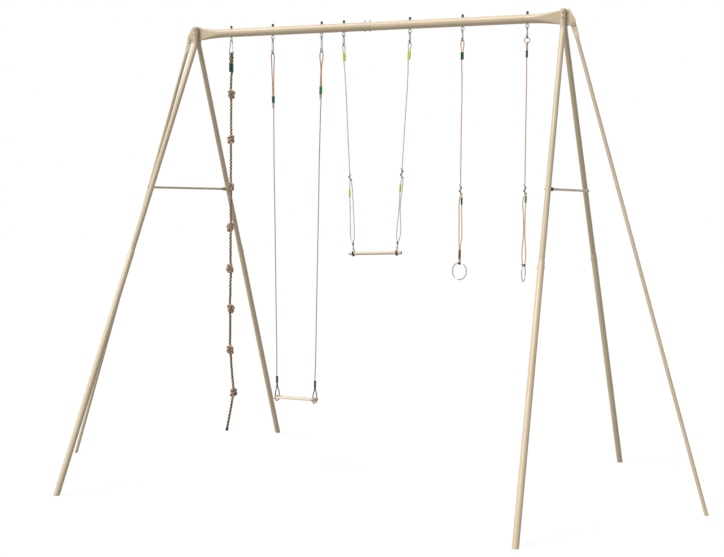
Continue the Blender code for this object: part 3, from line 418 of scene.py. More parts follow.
def laid_rope(name, line, diameter, lay, step, around, finish):
    line = evenly(line, step)
    reach = along_line(line)
    first, second = frames_along(line)
    strand = 0.49 * diameter / 2
    turns = np.linspace(0, 2 * math.pi, around, endpoint=False)
    points, faces, places = [], [], []
    rings = len(line)
    for number in range(3):
        twist = 2 * math.pi * (reach / lay + number / 3)
        out = first * np.cos(twist)[:, None] + second * np.sin(twist)[:, None]
        across = second * np.cos(twist)[:, None] - first * np.sin(twist)[:, None]
        centre = line + out * (diameter / 2 - strand)
        ring = (centre[:, None] + strand * (out[:, None] * np.cos(turns)[None, :, None]
                                            + across[:, None] * np.sin(turns)[None, :, None]))
        start = len(points) * rings * around
        points.append(ring.reshape(-1, 3))
        at = start + (np.arange(rings - 1)[:, None] * around + np.arange(around)[None]).ravel()
        after = start + (np.arange(rings - 1)[:, None] * around
                         + (np.arange(around)[None] + 1) % around).ravel()
        faces += np.stack([at, after, after + around, at + around], axis=1).tolist()
        u = np.tile(np.arange(around) / around, rings - 1)
        v = np.repeat(reach[:-1], around) / lay
        ahead = np.repeat(reach[1:], around) / lay
        wide = 1 / around
        places.append(np.stack([u, v, u + wide, v, u + wide, ahead, u, ahead], axis=1).reshape(-1, 2))
        faces.append([start + index for index in reversed(range(around))])
        faces.append([start + (rings - 1) * around + index for index in range(around)])
        places.append(np.zeros((2 * around, 2)))
    mesh = bpy.data.meshes.new(name)
    mesh.from_pydata(np.concatenate(points).tolist(), [], faces)
    layer = mesh.uv_layers.new(name="strand")
    layer.data.foreach_set("uv", np.concatenate(places).astype(np.float32).ravel())
    mesh.shade_smooth()
    rope = bpy.data.objects.new(name, mesh)
    scene.collection.objects.link(rope)
    mesh.materials.append(finish)
    return rope, line, reach[-1]


# %% [markdown]
# ## Rope finish
# Hemp-like rope keeps its own pale colour on a strand's crown. The groove between two
# strands is painted brown: painted shade, where shade falls between the strands. The
# mesh carries how far round its strand a point is, so the painted groove shade follows
# the strand itself. Fine lines along the yarns and a slow change of tone keep it from
# looking printed.

# %% Rope finish
YARNS = 5
YARN_LEAN = 3


def rope_finish(name, crown, groove, groove_shade_to, crown_from, cloudy=0.30, tones=(), knotted=None):
    # Tones are pairs of a height and the tint there, and knotted is the paler tone of the knots
    finish, tree, shader = new_finish(name, 0.92)
    shader.inputs["Specular IOR Level"].default_value = 0.2
    place = tree.nodes.new("ShaderNodeUVMap")
    place.uv_map = "strand"
    parts = tree.nodes.new("ShaderNodeSeparateXYZ")
    tree.links.new(place.outputs["UV"], parts.inputs[0])
    turn = arithmetic(tree, "MULTIPLY", parts.outputs["X"], 2 * math.pi)
    outward = arithmetic(tree, "ADD", arithmetic(tree, "COSINE", turn), 1.0)
    # The groove colour is painted shade, given where a strand turns inwards between its neighbours
    tone = ramp(tree, arithmetic(tree, "MULTIPLY", outward, 0.5), (0.0, groove), (groove_shade_to, groove),
                (crown_from, crown), (1.0, crown))
    lean = arithmetic(tree, "MULTIPLY", parts.outputs["Y"], 2 * math.pi * YARN_LEAN)
    yarn = arithmetic(tree, "SINE", arithmetic(tree, "ADD", arithmetic(tree, "MULTIPLY", turn, YARNS), lean))
    where = coordinates(tree)
    fibre = noise(tree, where, 420.0, 4.0, 0.7)
    slow = noise(tree, where, 9.0, 2.0)
    share = arithmetic(tree, "MULTIPLY", arithmetic(tree, "ADD", yarn, fibre), 0.16)
    # The yarn lines are darkened towards the painted groove shade
    colour = mixed(tree, arithmetic(tree, "MAXIMUM", share, 0.0), tone, groove)
    colour = mixed(tree, arithmetic(tree, "MULTIPLY", slow, cloudy), colour, crown)
    if tones:
        height = tree.nodes.new("ShaderNodeSeparateXYZ")
        tree.links.new(where, height.inputs[0])
        tint_by_height = ramp(tree, arithmetic(tree, "MULTIPLY", height.outputs["Z"], 0.25),
                    *((z * 0.25, tint) for z, tint in tones))
        colour = mixed(tree, 1.0, colour, tint_by_height, "MULTIPLY")
    if knotted:
        near = tree.nodes.new("ShaderNodeAttribute")
        near.attribute_name = "near_knot"
        colour = mixed(tree, arithmetic(tree, "MULTIPLY", near.outputs["Fac"], 0.5), colour, knotted)
    tree.links.new(colour, shader.inputs["Base Color"])
    relief(tree, shader, arithmetic(tree, "ADD", yarn, fibre), 0.45, 0.0006)
    return finish


AS_IS, DARKER_ABOVE_SEAT = (1.0, 1.0, 1.0), (0.30, 0.21, 0.20)
# The climbing rope is darker towards the bottom
CLIMB_TONES = ((0.30, (0.80, 0.70, 0.66)), (1.90, (0.92, 0.86, 0.82)), (3.10, AS_IS))
# The board swing's ropes are darker just above the seat
LOW_TONES = ((0.658, AS_IS), (0.668, DARKER_ABOVE_SEAT), (0.775, DARKER_ABOVE_SEAT), (0.800, AS_IS), (3.40, AS_IS),
             (3.48, (1.0, 0.80, 0.62)))
# Each rope's second colour is painted shade for its grooves
climb_hemp = rope_finish("climbing_hemp", (1.00, 0.80, 0.60), (0.030, 0.012, 0.006), 0.82, 0.90, 0.04,
                         CLIMB_TONES, (0.60, 0.47, 0.37))
low_hemp = rope_finish("low_swing_hemp", (0.84, 0.62, 0.50), (0.26, 0.14, 0.11), 0.36, 0.80, 0.30, LOW_TONES)
trapeze_hemp = rope_finish("trapeze_hemp", (1.00, 0.90, 0.81), (0.60, 0.46, 0.37), 0.34, 0.80)
ring_hemp = rope_finish("ring_hemp", (1.00, 0.73, 0.54), (0.44, 0.26, 0.16), 0.36, 0.80)

# %% [markdown]
# ## The board swing's ropes
# Each rope closes in a loop over its hook, comes down as one, and parts above the seat
# to pass down through one hole of the wooden cleat and up through the other. The
# heights below are read from the picture. The line is one long list of points, so the
# rope is in one piece, as the real one is.

# %% Lines for the board swing
LOW_TOP = {"left": -0.961, "right": -0.469}
SEAT_ROPE = {"left": -0.893, "right": -0.510}
SEAT_Z = 0.672
CLEAT_HEIGHT = 0.030
CLEAT_TOP, CLEAT_BOTTOM = SEAT_Z + CLEAT_HEIGHT / 2, SEAT_Z - CLEAT_HEIGHT / 2
CLEAT_BEND = 0.012
HALF_HOLES = 0.037
HOLE = ROPE_RADIUS + ROPE_TOUCH + 0.0006
LOW_SPLIT_Z = 0.760
TOUCH = 0.0003
LOW_SLEEVES = {"left": (3.355, 3.413), "right": (3.422, 3.487)}
LOW_TAILS = {"left": 3.303, "right": 3.375}
LOW_LOOPS = {"left": (3.530, 3.720, 0.0125), "right": (3.690, 3.745, 0.0150)}
LOW_CLAMPS = {"left": (0.802, 0.863), "right": (0.784, 0.844)}
SWING_LAY, SWING_STEP, SWING_AROUND = 0.046, 0.0040, 10
ENDS = ("left", "right")


def rope_line(top_x, foot_x, foot_z, hook_z=HOOK_FOOT_Z):
    def place(z, across=0.0, forward=0.0):
        share = (hook_z - z) / (hook_z - foot_z)
        return Vector((top_x + (foot_x - top_x) * share + across, forward, z))
    return place


low_places = {end: rope_line(LOW_TOP[end], SEAT_ROPE[end], CLEAT_TOP, LONG_HOOK_FOOT_Z) for end in ENDS}


def low_route(end):
    place = low_places[end]
    close_z, spread_z, width = LOW_LOOPS[end]
    sleeve_low, sleeve_high = LOW_SLEEVES[end]
    clamp_low, clamp_high = LOW_CLAMPS[end]
    centre, foot = place(LONG_HOOK_FOOT_Z), place(CLEAT_TOP)
    turn_y, turn_z = HALF_HOLES - CLEAT_BEND, CLEAT_BOTTOM - TOUCH
    route = [place(LOW_TAILS[end], -STRAND), place(sleeve_low, -STRAND), place(sleeve_high, -STRAND)]
    route += [place(close_z) - X * STRAND, place(spread_z) - X * width]
    route += over(centre, X, HOOK_BEND)
    route += [place(spread_z) + X * width, place(close_z) + X * STRAND]
    route += [place(sleeve_high, STRAND), place(sleeve_low, STRAND), place(sleeve_low - 0.12, 0.002)]
    route += [place(2.40), place(1.40), place(clamp_high + 0.10, 0, -0.001)]
    route += [place(clamp_high, 0, -STRAND), place(clamp_low, 0, -STRAND), place(LOW_SPLIT_Z, 0, -0.012)]
    route += [Vector((foot.x, -HALF_HOLES, CLEAT_TOP + rise)) for rise in (0.020, 0.004)]
    route += arc(Vector((foot.x, -turn_y, turn_z)), Y, Z, CLEAT_BEND, 180, 270, 2)
    route += arc(Vector((foot.x, turn_y, turn_z)), Y, Z, CLEAT_BEND, 270, 360, 2)
    route += [Vector((foot.x, HALF_HOLES, CLEAT_TOP + rise)) for rise in (0.004, 0.020)]
    route += [place(LOW_SPLIT_Z, 0, 0.012), place(clamp_low, 0, STRAND), place(clamp_high, 0, STRAND)]
    return smooth_route(route)


def swing_rope(name, line, finish, body, node, exit_place):
    rope, line, length = laid_rope(name, line, ROPE_DIAMETER, SWING_LAY, SWING_STEP, SWING_AROUND, finish)
    dress(rope, finish, body, "swing_rope", node)
    tuple(exit_place)
    print(name, round(length, 3), "m")
    return line


low_lines = {}
for end in ENDS:
    tail = low_places[end]((LOW_TAILS[end] + LOW_SLEEVES[end][0]) / 2, -STRAND)
    low_lines[end] = swing_rope(f"board_swing_rope_{end}", low_route(end), low_hemp, "low_swing",
                                f"low_rope_{end}", tail)

# %% [markdown]
# ## The trapeze's and rings' ropes
# These ropes run down from the hook through a metal adjuster, round the bar or ring,
# and back up to the adjuster. Below it the two strands hang a little apart, as the
# picture shows, and a binding draws them together over the bar.

# %% Lines for the trapeze and the rings
TRAPEZE_TOP = {"left": -0.251, "right": 0.381}
BAR_ROPE = {"left": -0.137, "right": 0.281}
BAR_START, BAR_END = Vector((-0.180, 0, 2.003)), Vector((0.326, 0, 2.023))
TRAPEZE_SLEEVES = {"left": (3.708, 3.775), "right": (3.702, 3.771)}
TRAPEZE_ADJUSTERS = {"left": (2.654, 2.708), "right": (2.672, 2.760)}
TRAPEZE_SPREAD = {
    "left": ((2.575, 0.009, 0.018), (2.427, 0.012, 0.019), (2.220, 0.019, 0.017), (2.132, 0.018, 0.011),
             (2.110, STRAND, STRAND), (2.090, STRAND, STRAND), (2.060, STRAND, STRAND)),
    "right": ((2.610, 0.006, 0.0155), (2.500, STRAND, STRAND), (2.390, STRAND, STRAND),
              (2.290, 0.011, 0.017), (2.175, 0.013, 0.021), (2.145, 0.010, 0.015),
              (2.122, STRAND, STRAND), (2.106, STRAND, STRAND), (2.075, STRAND, STRAND)),
}
TRAPEZE_TURN = {"left": 2.132, "right": 2.147}
RING_X = {"left": 0.866, "right": 1.441}
RING_TURN = {"left": math.radians(14.5), "right": math.radians(90)}
RING_RADIUS = 0.0725
RING_CENTRE_Z = 1.876
RING_TOP_Z = RING_CENTRE_Z + RING_RADIUS
RING_SLEEVES = {"left": (3.683, 3.744), "right": (3.681, 3.740)}
RING_ADJUSTERS = {"left": (2.536, 2.616), "right": (2.540, 2.620)}
RING_SPREAD = {
    "left": ((2.478, 0.009, 0.0125), (2.320, 0.009, 0.014), (2.190, 0.008, 0.018), (2.130, 0.007, 0.012),
             (2.102, STRAND, STRAND), (2.080, STRAND, STRAND), (1.982, STRAND, STRAND)),
    "right": ((2.497, 0.013, 0.010), (2.340, STRAND, STRAND), (2.190, STRAND, STRAND),
              (2.060, 0.016, 0.015), (2.000, 0.016, 0.016)),
}
RING_STRANDS_TURN = 2.122
STRANDS_TURN_OVER = 0.040
FOOT_STRAIGHT = 0.012
TAIL_ASIDE, TAIL_ABOVE = 0.0125, 0.016


def on_bar(x):
    return BAR_START.lerp(BAR_END, (x - BAR_START.x) / (BAR_END.x - BAR_START.x))


def adjusted_route(place, foot, foot_bend, foot_along, loop_z, loop_along, loop_bend, sleeve_ends,
                   adjuster_ends, spread, turn_from):
    # Higher up the strands are side by side, and at the foot one is before the other
    def aside(z):
        return X.slerp(foot_along, min(max((turn_from - z) / STRANDS_TURN_OVER, 0.0), 1.0))

    low, high = adjuster_ends
    sleeve_low, sleeve_high = sleeve_ends
    route = [place(low + TAIL_ABOVE) + X * TAIL_ASIDE, place(low) + X * TAIL_ASIDE]
    route += [place(z) + aside(z) * wide for z, narrow, wide in spread]
    route += [foot + foot_along * foot_bend + Z * FOOT_STRAIGHT]
    route += under(foot, foot_along, foot_bend)
    route += [foot - foot_along * foot_bend + Z * FOOT_STRAIGHT]
    route += [place(z) - aside(z) * narrow for z, narrow, wide in reversed(spread)]
    route += [place(low), place(high), place(high + 0.12)]
    route += [place((high + sleeve_low) / 2), place(sleeve_low - 0.12)]
    route += [place(sleeve_low) - loop_along * STRAND, place(sleeve_high) - loop_along * STRAND]
    centre = place(HOOK_FOOT_Z)
    centre.z = loop_z
    route += over(centre, loop_along, loop_bend)
    route += [place(sleeve_high) + loop_along * STRAND, place(sleeve_low + 0.006) + loop_along * STRAND]
    return smooth_route(route)


hung_lines, hung_places, hung_across = {}, {}, {}
for end in ENDS:
    foot = on_bar(BAR_ROPE[end])
    place = rope_line(TRAPEZE_TOP[end], BAR_ROPE[end], foot.z)
    line = adjusted_route(place, foot, BAR_BEND, Y, HOOK_FOOT_Z, X, HOOK_BEND, TRAPEZE_SLEEVES[end],
                          TRAPEZE_ADJUSTERS[end], TRAPEZE_SPREAD[end], TRAPEZE_TURN[end])
    hung_lines["trapeze", end] = swing_rope(f"trapeze_hanging_rope_{end}", line, trapeze_hemp, "trapeze",
                                            f"trapeze_rope_{end}", line[0])
    hung_places["trapeze", end], hung_across["trapeze", end] = place, Y
RING_LOOPS = {"left": (HOOK_FOOT_Z, X, HOOK_BEND), "right": (LINK_FOOT_Z, Y, LINK_BEND)}
for end in ENDS:
    turn = RING_TURN[end]
    foot = Vector((RING_X[end], 0, RING_TOP_Z))
    place = rope_line(RING_X[end], RING_X[end], RING_TOP_Z)
    across = Vector((math.sin(turn), math.cos(turn), 0))
    line = adjusted_route(place, foot, RING_BEND, across, *RING_LOOPS[end], RING_SLEEVES[end],
                          RING_ADJUSTERS[end], RING_SPREAD[end], RING_STRANDS_TURN)
    hung_lines["ring", end] = swing_rope(f"ring_hanging_rope_{end}", line, ring_hemp, f"ring_line_{end}",
                                         f"ring_rope_{end}", line[0])
    hung_places["ring", end], hung_across["ring", end] = place, across

# %% [markdown]
# ## A knot that is really tied
# The climbing rope has eight overhand knots to stand on. Modelling one by eye gives a
# lump. Instead a loose overhand knot is drawn as an open trefoil, and then pulled: its
# points keep their distance along the rope, may not come nearer than a rope's width to
# the rest of the rope, and may not bend too sharply, while the two ends are drawn
# apart. After several hundred small pulls it is as tight as a real one.

# %% Tie one overhand knot
KNOT_STEP = 0.006
KNOT_PULLS = 700
KNOT_SETTLE = 60
KNOT_PULL = 0.0006
KNOT_CONTACT = CLIMB_DIAMETER * 0.96
KNOT_FREE = 1.45 * CLIMB_DIAMETER
KNOT_ROUNDS = 8
KNOT_LEAST_BEND = 2 * KNOT_STEP * 0.968
KNOT_EVENING = 0.02
KNOT_HALF = 0.045


def loose_knot(scale=0.0105, lift=0.026):
    angle = np.radians(np.linspace(135.5, -135.5, 60))
    along = np.sin(angle) + 2 * np.sin(2 * angle)
    out = np.cos(angle) - 2 * np.cos(2 * angle)
    body = np.stack([-(out + 1.0) * scale, -np.sin(3 * angle) * lift, -along * scale], axis=1)
    top = np.array([(0, 0, 9 * scale), (0.3 * scale, 0, 6 * scale), (1.6 * scale, 0.2 * lift, 3.4 * scale),
                    (1.9 * scale, 0.5 * lift, 2.2 * scale)])
    return evenly(np.concatenate([top, body, top[::-1] * (1, -1, -1)]), KNOT_STEP)


def pull_pair(points, first, second, wanted, at_least, stiffness):
    gap = points[second] - points[first]
    length = np.linalg.norm(gap, axis=1, keepdims=True)
    goal = np.maximum(length, wanted) if at_least else wanted
    move = gap / length * (length - goal) * stiffness
    np.add.at(points, first, move)
    np.add.at(points, second, -move)


def tied_knot():
    points = loose_knot()
    count = len(points)
    far_first, far_second = np.triu_indices(count, k=math.ceil(KNOT_FREE / KNOT_STEP))
    for pull in range(KNOT_PULLS + KNOT_SETTLE):
        if pull > KNOT_SETTLE:
            points[0, 2] += KNOT_PULL
            points[-1, 2] -= KNOT_PULL
        points[[0, 1, -2, -1], :2] = 0
        for _ in range(KNOT_ROUNDS):
            for start in range(2):
                first = np.arange(start, count - 1, 2)
                pull_pair(points, first, first + 1, KNOT_STEP, False, 0.5)
            for start in range(4):
                first = np.arange(start, count - 2, 4)
                pull_pair(points, first, first + 2, KNOT_LEAST_BEND, True, 0.5)
            near = np.linalg.norm(points[far_second] - points[far_first], axis=1) < KNOT_CONTACT
            if near.any():
                pull_pair(points, far_first[near], far_second[near], KNOT_CONTACT, True, 0.25)
        points[1:-1] += KNOT_EVENING * (points[:-2] + points[2:] - 2 * points[1:-1])
    return points


knot = tied_knot()
knot_body = knot[np.abs(knot[:, 2]) < KNOT_HALF]
print("knot", np.round(np.ptp(knot_body, axis=0) + CLIMB_DIAMETER, 3))
print("its ends at", np.round(knot[[0, -1], 2], 3))

# %% [markdown]
# ## The climbing rope
# The rope loops over its own hook, closes in a sleeve, and runs down through the eight
# knots to a taped end that leans a little. Each knot is turned its own way round the
# rope, because nobody ties eight knots alike. The rope between two knots is straight,
# so each half of a knot leans towards its neighbour. The rope is paler near each knot:
# the mesh carries how near to a knot each point is.

# %% Climbing rope
CLIMB_X = -1.391
CLIMB_LAY = 0.100
KNOT_Z = (3.438, 3.027, 2.594, 2.216, 1.838, 1.464, 1.082, 0.680)
KNOT_TURNS = [math.radians(angle) for angle in (128, 302, 112, 310, 104, 134, 118, 296)]
CLIMB_SLEEVE = (3.645, 3.724)
LAST_KNOT_X = -1.351
CLIMB_END = Vector((-1.424, 0.0, 0.322))
CLIMB_AROUND = 14
CLIMB_STEP = 0.0045
PALE_REACH, PALE_FADE = 0.062, 0.015
knot_spots = [Vector((CLIMB_X, 0, z)) for z in KNOT_Z[:-1]] + [Vector((LAST_KNOT_X, 0, KNOT_Z[-1]))]


def climbing_route():
    low, high = CLIMB_SLEEVE
    route = [Vector((CLIMB_X, -CLIMB_STRAND, z)) for z in (low + 0.010, high - 0.020, high + 0.006)]
    route += over(Vector((CLIMB_X, 0, LONG_HOOK_FOOT_Z)), Y, CLIMB_BEND)
    route += [Vector((CLIMB_X, CLIMB_STRAND, z))
              for z in (high + 0.006, high - 0.020, low + 0.010, low - 0.006)]
    route += [Vector((CLIMB_X, 0, low - 0.040))]
    neighbours = [Vector((CLIMB_X, 0, low)), *knot_spots, CLIMB_END]
    for before, centre, after, turn in zip(neighbours, knot_spots, neighbours[2:], KNOT_TURNS):
        upper, lower = ((other.x - centre.x) / (other.z - centre.z) for other in (before, after))
        for point in knot:
            offset = Matrix.Rotation(turn, 3, "Z") @ Vector(point)
            offset.x += offset.z * (upper if offset.z > 0 else lower)
            route.append(centre + offset)
    route += [knot_spots[-1].lerp(CLIMB_END, 0.75), CLIMB_END]
    return smooth_route(route)


climb_rope, climb_line, climb_length = laid_rope("knotted_climbing_rope", climbing_route(), CLIMB_DIAMETER,
                                                 CLIMB_LAY, CLIMB_STEP, CLIMB_AROUND, climb_hemp)
# How near each point is to a knot; the rope is paler there
from_knot = np.min([np.linalg.norm(climb_line - np.array(spot), axis=1) for spot in knot_spots], axis=0)
near_knot = np.clip((PALE_REACH - from_knot) / PALE_FADE, 0.0, 1.0).astype(np.float32)
layer = climb_rope.data.attributes.new("near_knot", "FLOAT", "POINT")
layer.data.foreach_set("value", np.tile(np.repeat(near_knot, CLIMB_AROUND), 3))
dress(climb_rope, climb_hemp, "climbing_line", "climbing_rope", "climbing_rope")
tuple(climb_line[0])
print("climbing rope", round(climb_length, 3), "m")

# %% [markdown]
# ## Sleeves and clamps
# A sleeve is a short plastic tube pressed over two strands side by side, so its hole
# is oval. A round tube is added, cut into bands, and each point is moved to its side
# of the oval. The wall is then given outwards, because the hole has to fit the rope.


# %% Tubes, plain and oval
def cut_across(piece, place, normal, **settings):
    only(piece)
    bpy.ops.object.mode_set(mode="EDIT")
    bpy.ops.mesh.select_all(action="SELECT")
    bpy.ops.mesh.bisect(plane_co=place, plane_no=normal.normalized(), **settings)
    bpy.ops.object.mode_set(mode="OBJECT")


def tube(name, start, end, radius, sides=48, stations=()):
    start, end = Vector(start), Vector(end)
    way = end - start
    aim = way.to_track_quat("Z", "Y").to_matrix() @ Matrix.Rotation(math.pi / sides, 3, "Z")
    deselect()
    bpy.ops.mesh.primitive_cylinder_add(vertices=sides, radius=radius, depth=way.length,
                                        end_fill_type="NOTHING", location=(start + end) / 2,
                                        rotation=aim.to_euler())
    piece = named(name)
    for reach in stations:
        cut_across(piece, start + way.normalized() * reach, way)
    return face_out(piece)


def bar(name, start, end, radius, sides=32, edge=0.0, segments=2):
    # A solid round or hexagonal bar with softened ends
    start, end = Vector(start), Vector(end)
    way = end - start
    deselect()
    bpy.ops.mesh.primitive_cylinder_add(vertices=sides, radius=radius, depth=way.length,
                                        location=(start + end) / 2,
                                        rotation=way.to_track_quat("Z", "Y").to_euler())
    piece = named(name)
    if edge:
        soften(piece, edge, segments, 75)
    return piece


def oval_sleeve(name, low, high, along, half, inside, wall, bands=((0.0, 0.0), (1.0, 0.0)), edge=0.0008):
    length = (high - low).length
    way = (high - low) / length
    piece = tube(name, low, high, inside, 40, [share * length for share, swell in bands[1:-1]])
    shares, swells = zip(*bands)
    for vertex in piece.data.vertices:
        offset = vertex.co - low
        reach = offset.dot(way)
        spoke = offset - way * reach
        swell = float(np.interp(reach / length, shares, swells))
        side = half if spoke.dot(along) > 0 else -half
        vertex.co = low + way * reach + spoke * (1 + swell / inside) + along * side
    modify(piece, "SOLIDIFY", thickness=wall, offset=1.0, use_even_offset=True)
    soften(piece, edge, 3)
    return smooth(piece)


def on_strand(line, z, side):
    # Where the strand on that side, -1 for the left one, crosses a height
    higher = line[:, 2] > z
    crossing = np.flatnonzero(higher[1:] != higher[:-1])
    spots = [line[at] + (line[at + 1] - line[at]) * (z - line[at, 2]) / (line[at + 1, 2] - line[at, 2])
             for at in crossing]
    return Vector(min(spots, key=lambda spot: -spot[0] * side))


# %% Plastics and metals
def plastic(name, colour, darker, roughness, grain=700.0):
    finish, tree, shader = new_finish(name, roughness)
    shader.inputs["Specular IOR Level"].default_value = 0.25
    where = coordinates(tree)
    cloud = noise(tree, where, 55.0, 3.0)
    tree.links.new(ramp(tree, cloud, (0.35, darker), (0.65, colour)), shader.inputs["Base Color"])
    relief(tree, shader, noise(tree, where, grain, 2.0), 0.12, 0.0003)
    return finish


def metal(name, colour, darker, roughness, streak=(60, 60, 8), metallic=1.0):
    finish, tree, shader = new_finish(name, roughness, metallic)
    where = coordinates(tree, streak)
    cloud = noise(tree, where, 6.0, 4.0)
    tree.links.new(ramp(tree, cloud, (0.30, darker), (0.70, colour)), shader.inputs["Base Color"])
    rough = ramp(tree, noise(tree, where, 14.0, 3.0),
                 (0.3, (roughness - 0.07,) * 3), (0.7, (roughness + 0.09,) * 3))
    tree.links.new(rough, shader.inputs["Roughness"])
    relief(tree, shader, noise(tree, coordinates(tree), 850.0, 2.0), 0.06, 0.0002)
    return finish


dark_green = plastic("dark_green_sleeve", (0.003, 0.098, 0.042), (0.002, 0.066, 0.028), 0.30)
bright_green = plastic("bright_green_sleeve", (0.016, 0.260, 0.085), (0.010, 0.190, 0.062), 0.30)
lime = plastic("lime_sleeve", (0.470, 0.780, 0.075), (0.350, 0.640, 0.050), 0.34)
black_plastic = plastic("black_plastic", (0.020, 0.019, 0.018), (0.011, 0.011, 0.011), 0.38)
dark_binding = plastic("dark_binding", (0.060, 0.048, 0.036), (0.035, 0.028, 0.020), 0.55)
brown_whipping = plastic("brown_whipping", (0.300, 0.150, 0.075), (0.190, 0.090, 0.045), 0.80)
adjuster_metal = metal("adjuster_metal", (0.105, 0.125, 0.130), (0.060, 0.068, 0.070), 0.42, metallic=0.7)
zinc = metal("zinc_plate", (0.52, 0.52, 0.52), (0.40, 0.41, 0.42), 0.34)
hook_steel = metal("hook_steel", (0.27, 0.30, 0.36), (0.18, 0.20, 0.26), 0.30)
gate_steel = metal("gate_steel", (0.66, 0.70, 0.73), (0.55, 0.59, 0.62), 0.25)
ring_steel = metal("ring_steel", (0.46, 0.50, 0.54), (0.34, 0.38, 0.43), 0.22)

# %% Sleeves over two strands
SLEEVE_WALL, LOWER_SLEEVE_WALL = 0.0018, 0.0022
INSIDE = ROPE_RADIUS + ROPE_TOUCH
FLARED = ((0.0, 0.0006), (0.10, 0.0001), (0.5, -0.0002), (0.90, 0.0001), (1.0, 0.0006))

for end, finish in (("left", dark_green), ("right", bright_green)):
    low, high = (low_places[end](z) for z in LOW_SLEEVES[end])
    grip = oval_sleeve(f"board_swing_sleeve_{end}", low, high, X, STRAND, INSIDE, SLEEVE_WALL, FLARED)
    dress(grip, finish, "low_swing", "sleeves", f"low_sleeve_{end}")
    low, high = (low_places[end](z) for z in LOW_CLAMPS[end])
    grip = oval_sleeve(f"board_swing_clamp_{end}", low, high, Y, STRAND, INSIDE, SLEEVE_WALL, FLARED)
    dress(grip, dark_green, "low_swing", "sleeves")

UPPER_SLEEVES = {"trapeze": (TRAPEZE_SLEEVES, lime), "ring": (RING_SLEEVES, dark_green)}
BODIES = {("trapeze", "left"): "trapeze", ("trapeze", "right"): "trapeze",
          ("ring", "left"): "ring_line_left", ("ring", "right"): "ring_line_right"}
for (kind, end), place in hung_places.items():
    sleeves, finish = UPPER_SLEEVES[kind]
    low, high = (place(z) for z in sleeves[end])
    along = Y if (kind, end) == ("ring", "right") else X
    grip = oval_sleeve(f"{kind}_upper_sleeve_{end}", low, high, along, STRAND, INSIDE, SLEEVE_WALL, FLARED)
    dress(grip, finish, BODIES[kind, end], "sleeves")

low, high = (Vector((CLIMB_X, 0, z)) for z in CLIMB_SLEEVE)
grip = oval_sleeve("climbing_rope_sleeve", low, high, Y, CLIMB_STRAND, CLIMB_RADIUS + ROPE_TOUCH, SLEEVE_WALL,
                   FLARED)
dress(grip, dark_green, "climbing_line", "sleeves", "climbing_sleeve")

# %% [markdown]
# ## Rope adjusters
# An adjuster is a strip of steel plate folded to and fro, with a hole through every
# fold. The rope runs up through the holes and the folds grip it, and its own end stops
# in the lowest one. A flat bar is cut across at the folds, the cuts are moved aside,
# and the holes are drilled along the rope.


# %% Block and drill
def block(name, low, high):
    deselect()
    low, high = Vector(low), Vector(high)
    bpy.ops.mesh.primitive_cube_add(size=1.0, location=(low + high) / 2, scale=high - low)
    return named(name)


def carve(piece, *tools):
    for tool in tools:
        modify(piece, "BOOLEAN", operation="DIFFERENCE", solver="EXACT", object=tool)
        put_away(tool)
    return piece


# %% Adjusters
ADJUSTERS = {("trapeze", "left"): (TRAPEZE_ADJUSTERS["left"], (0.010, -0.012, 0.0175)),
             ("trapeze", "right"): (TRAPEZE_ADJUSTERS["right"], (-0.009, 0.012, -0.012, 0.0175)),
             ("ring", "left"): (RING_ADJUSTERS["left"], (-0.009, 0.012, -0.012, 0.0175)),
             ("ring", "right"): (RING_ADJUSTERS["right"], (-0.007, 0.012, -0.012, 0.0175))}
PLATE_WIDTH, PLATE_ACROSS = 0.022, 0.0046
DRILL_PAST = 0.01
for (kind, end), ((low, high), asides) in ADJUSTERS.items():
    place = hung_places[kind, end]
    plate = block(f"{kind}_rope_adjuster_{end}", (-PLATE_ACROSS / 2, -PLATE_WIDTH / 2, low),
                  (PLATE_ACROSS / 2, PLATE_WIDTH / 2, high))
    folds = np.linspace(high, low, len(asides))
    for z in folds[1:-1]:
        cut_across(plate, Vector((0, 0, z)), Z)
    for vertex in plate.data.vertices:
        vertex.co += place(vertex.co.z) - Z * vertex.co.z
        vertex.co.x += float(np.interp(-vertex.co.z, -folds, asides))
    plate = soften(plate, 0.0011, 3, 20)
    drills = [bar("drill", place(low - DRILL_PAST), place(high + DRILL_PAST), HOLE, 32),
              bar("drill", place(low - DRILL_PAST) + X * TAIL_ASIDE,
                  place(low + 2 * DRILL_PAST) + X * TAIL_ASIDE, HOLE, 32)]
    plate = smooth(carve(plate, *drills))
    dress(plate, adjuster_metal, BODIES[kind, end], "adjusters", f"{kind}_adjuster_{end}")

# %% Short sleeves on one strand, under the adjusters
LOWER_SLEEVES = {("trapeze", "left"): (2.508, 2.571, -1, lime),
                 ("trapeze", "right"): (2.553, 2.620, -1, lime),
                 ("ring", "left"): (2.449, 2.506, 1, dark_green),
                 ("ring", "right"): (2.470, 2.523, 1, bright_green)}
for (kind, end), (low_z, high_z, side, finish) in LOWER_SLEEVES.items():
    low, high = (on_strand(hung_lines[kind, end], z, side) for z in (low_z, high_z))
    grip = oval_sleeve(f"{kind}_lower_sleeve_{end}", low, high, X, 0.0, INSIDE, LOWER_SLEEVE_WALL, FLARED)
    dress(grip, finish, BODIES[kind, end], "sleeves")


# %% Bindings that follow the rope round the bar and the ring
def wire(name, points, radius, closed=False, resolution=5, caps=True):
    curve = bpy.data.curves.new(name, "CURVE")
    curve.dimensions = "3D"
    curve.bevel_depth = radius
    curve.bevel_resolution = resolution
    curve.use_fill_caps = caps and not closed
    spline = curve.splines.new("POLY")
    spline.points.add(len(points) - 1)
    for control, point in zip(spline.points, points):
        control.co = (*point, 1.0)
    spline.use_cyclic_u = closed
    piece = bpy.data.objects.new(name, curve)
    scene.collection.objects.link(piece)
    only(piece)
    bpy.ops.object.convert(target="MESH")
    piece = bpy.context.object
    piece.name = piece.data.name = name
    return face_out(piece)


def foot_of(line, high_z):
    # The stretch of a rope's line under a height, round the bar or ring
    below = np.flatnonzero(line[:, 2] < high_z)
    return line[below[0]:below[-1] + 1]


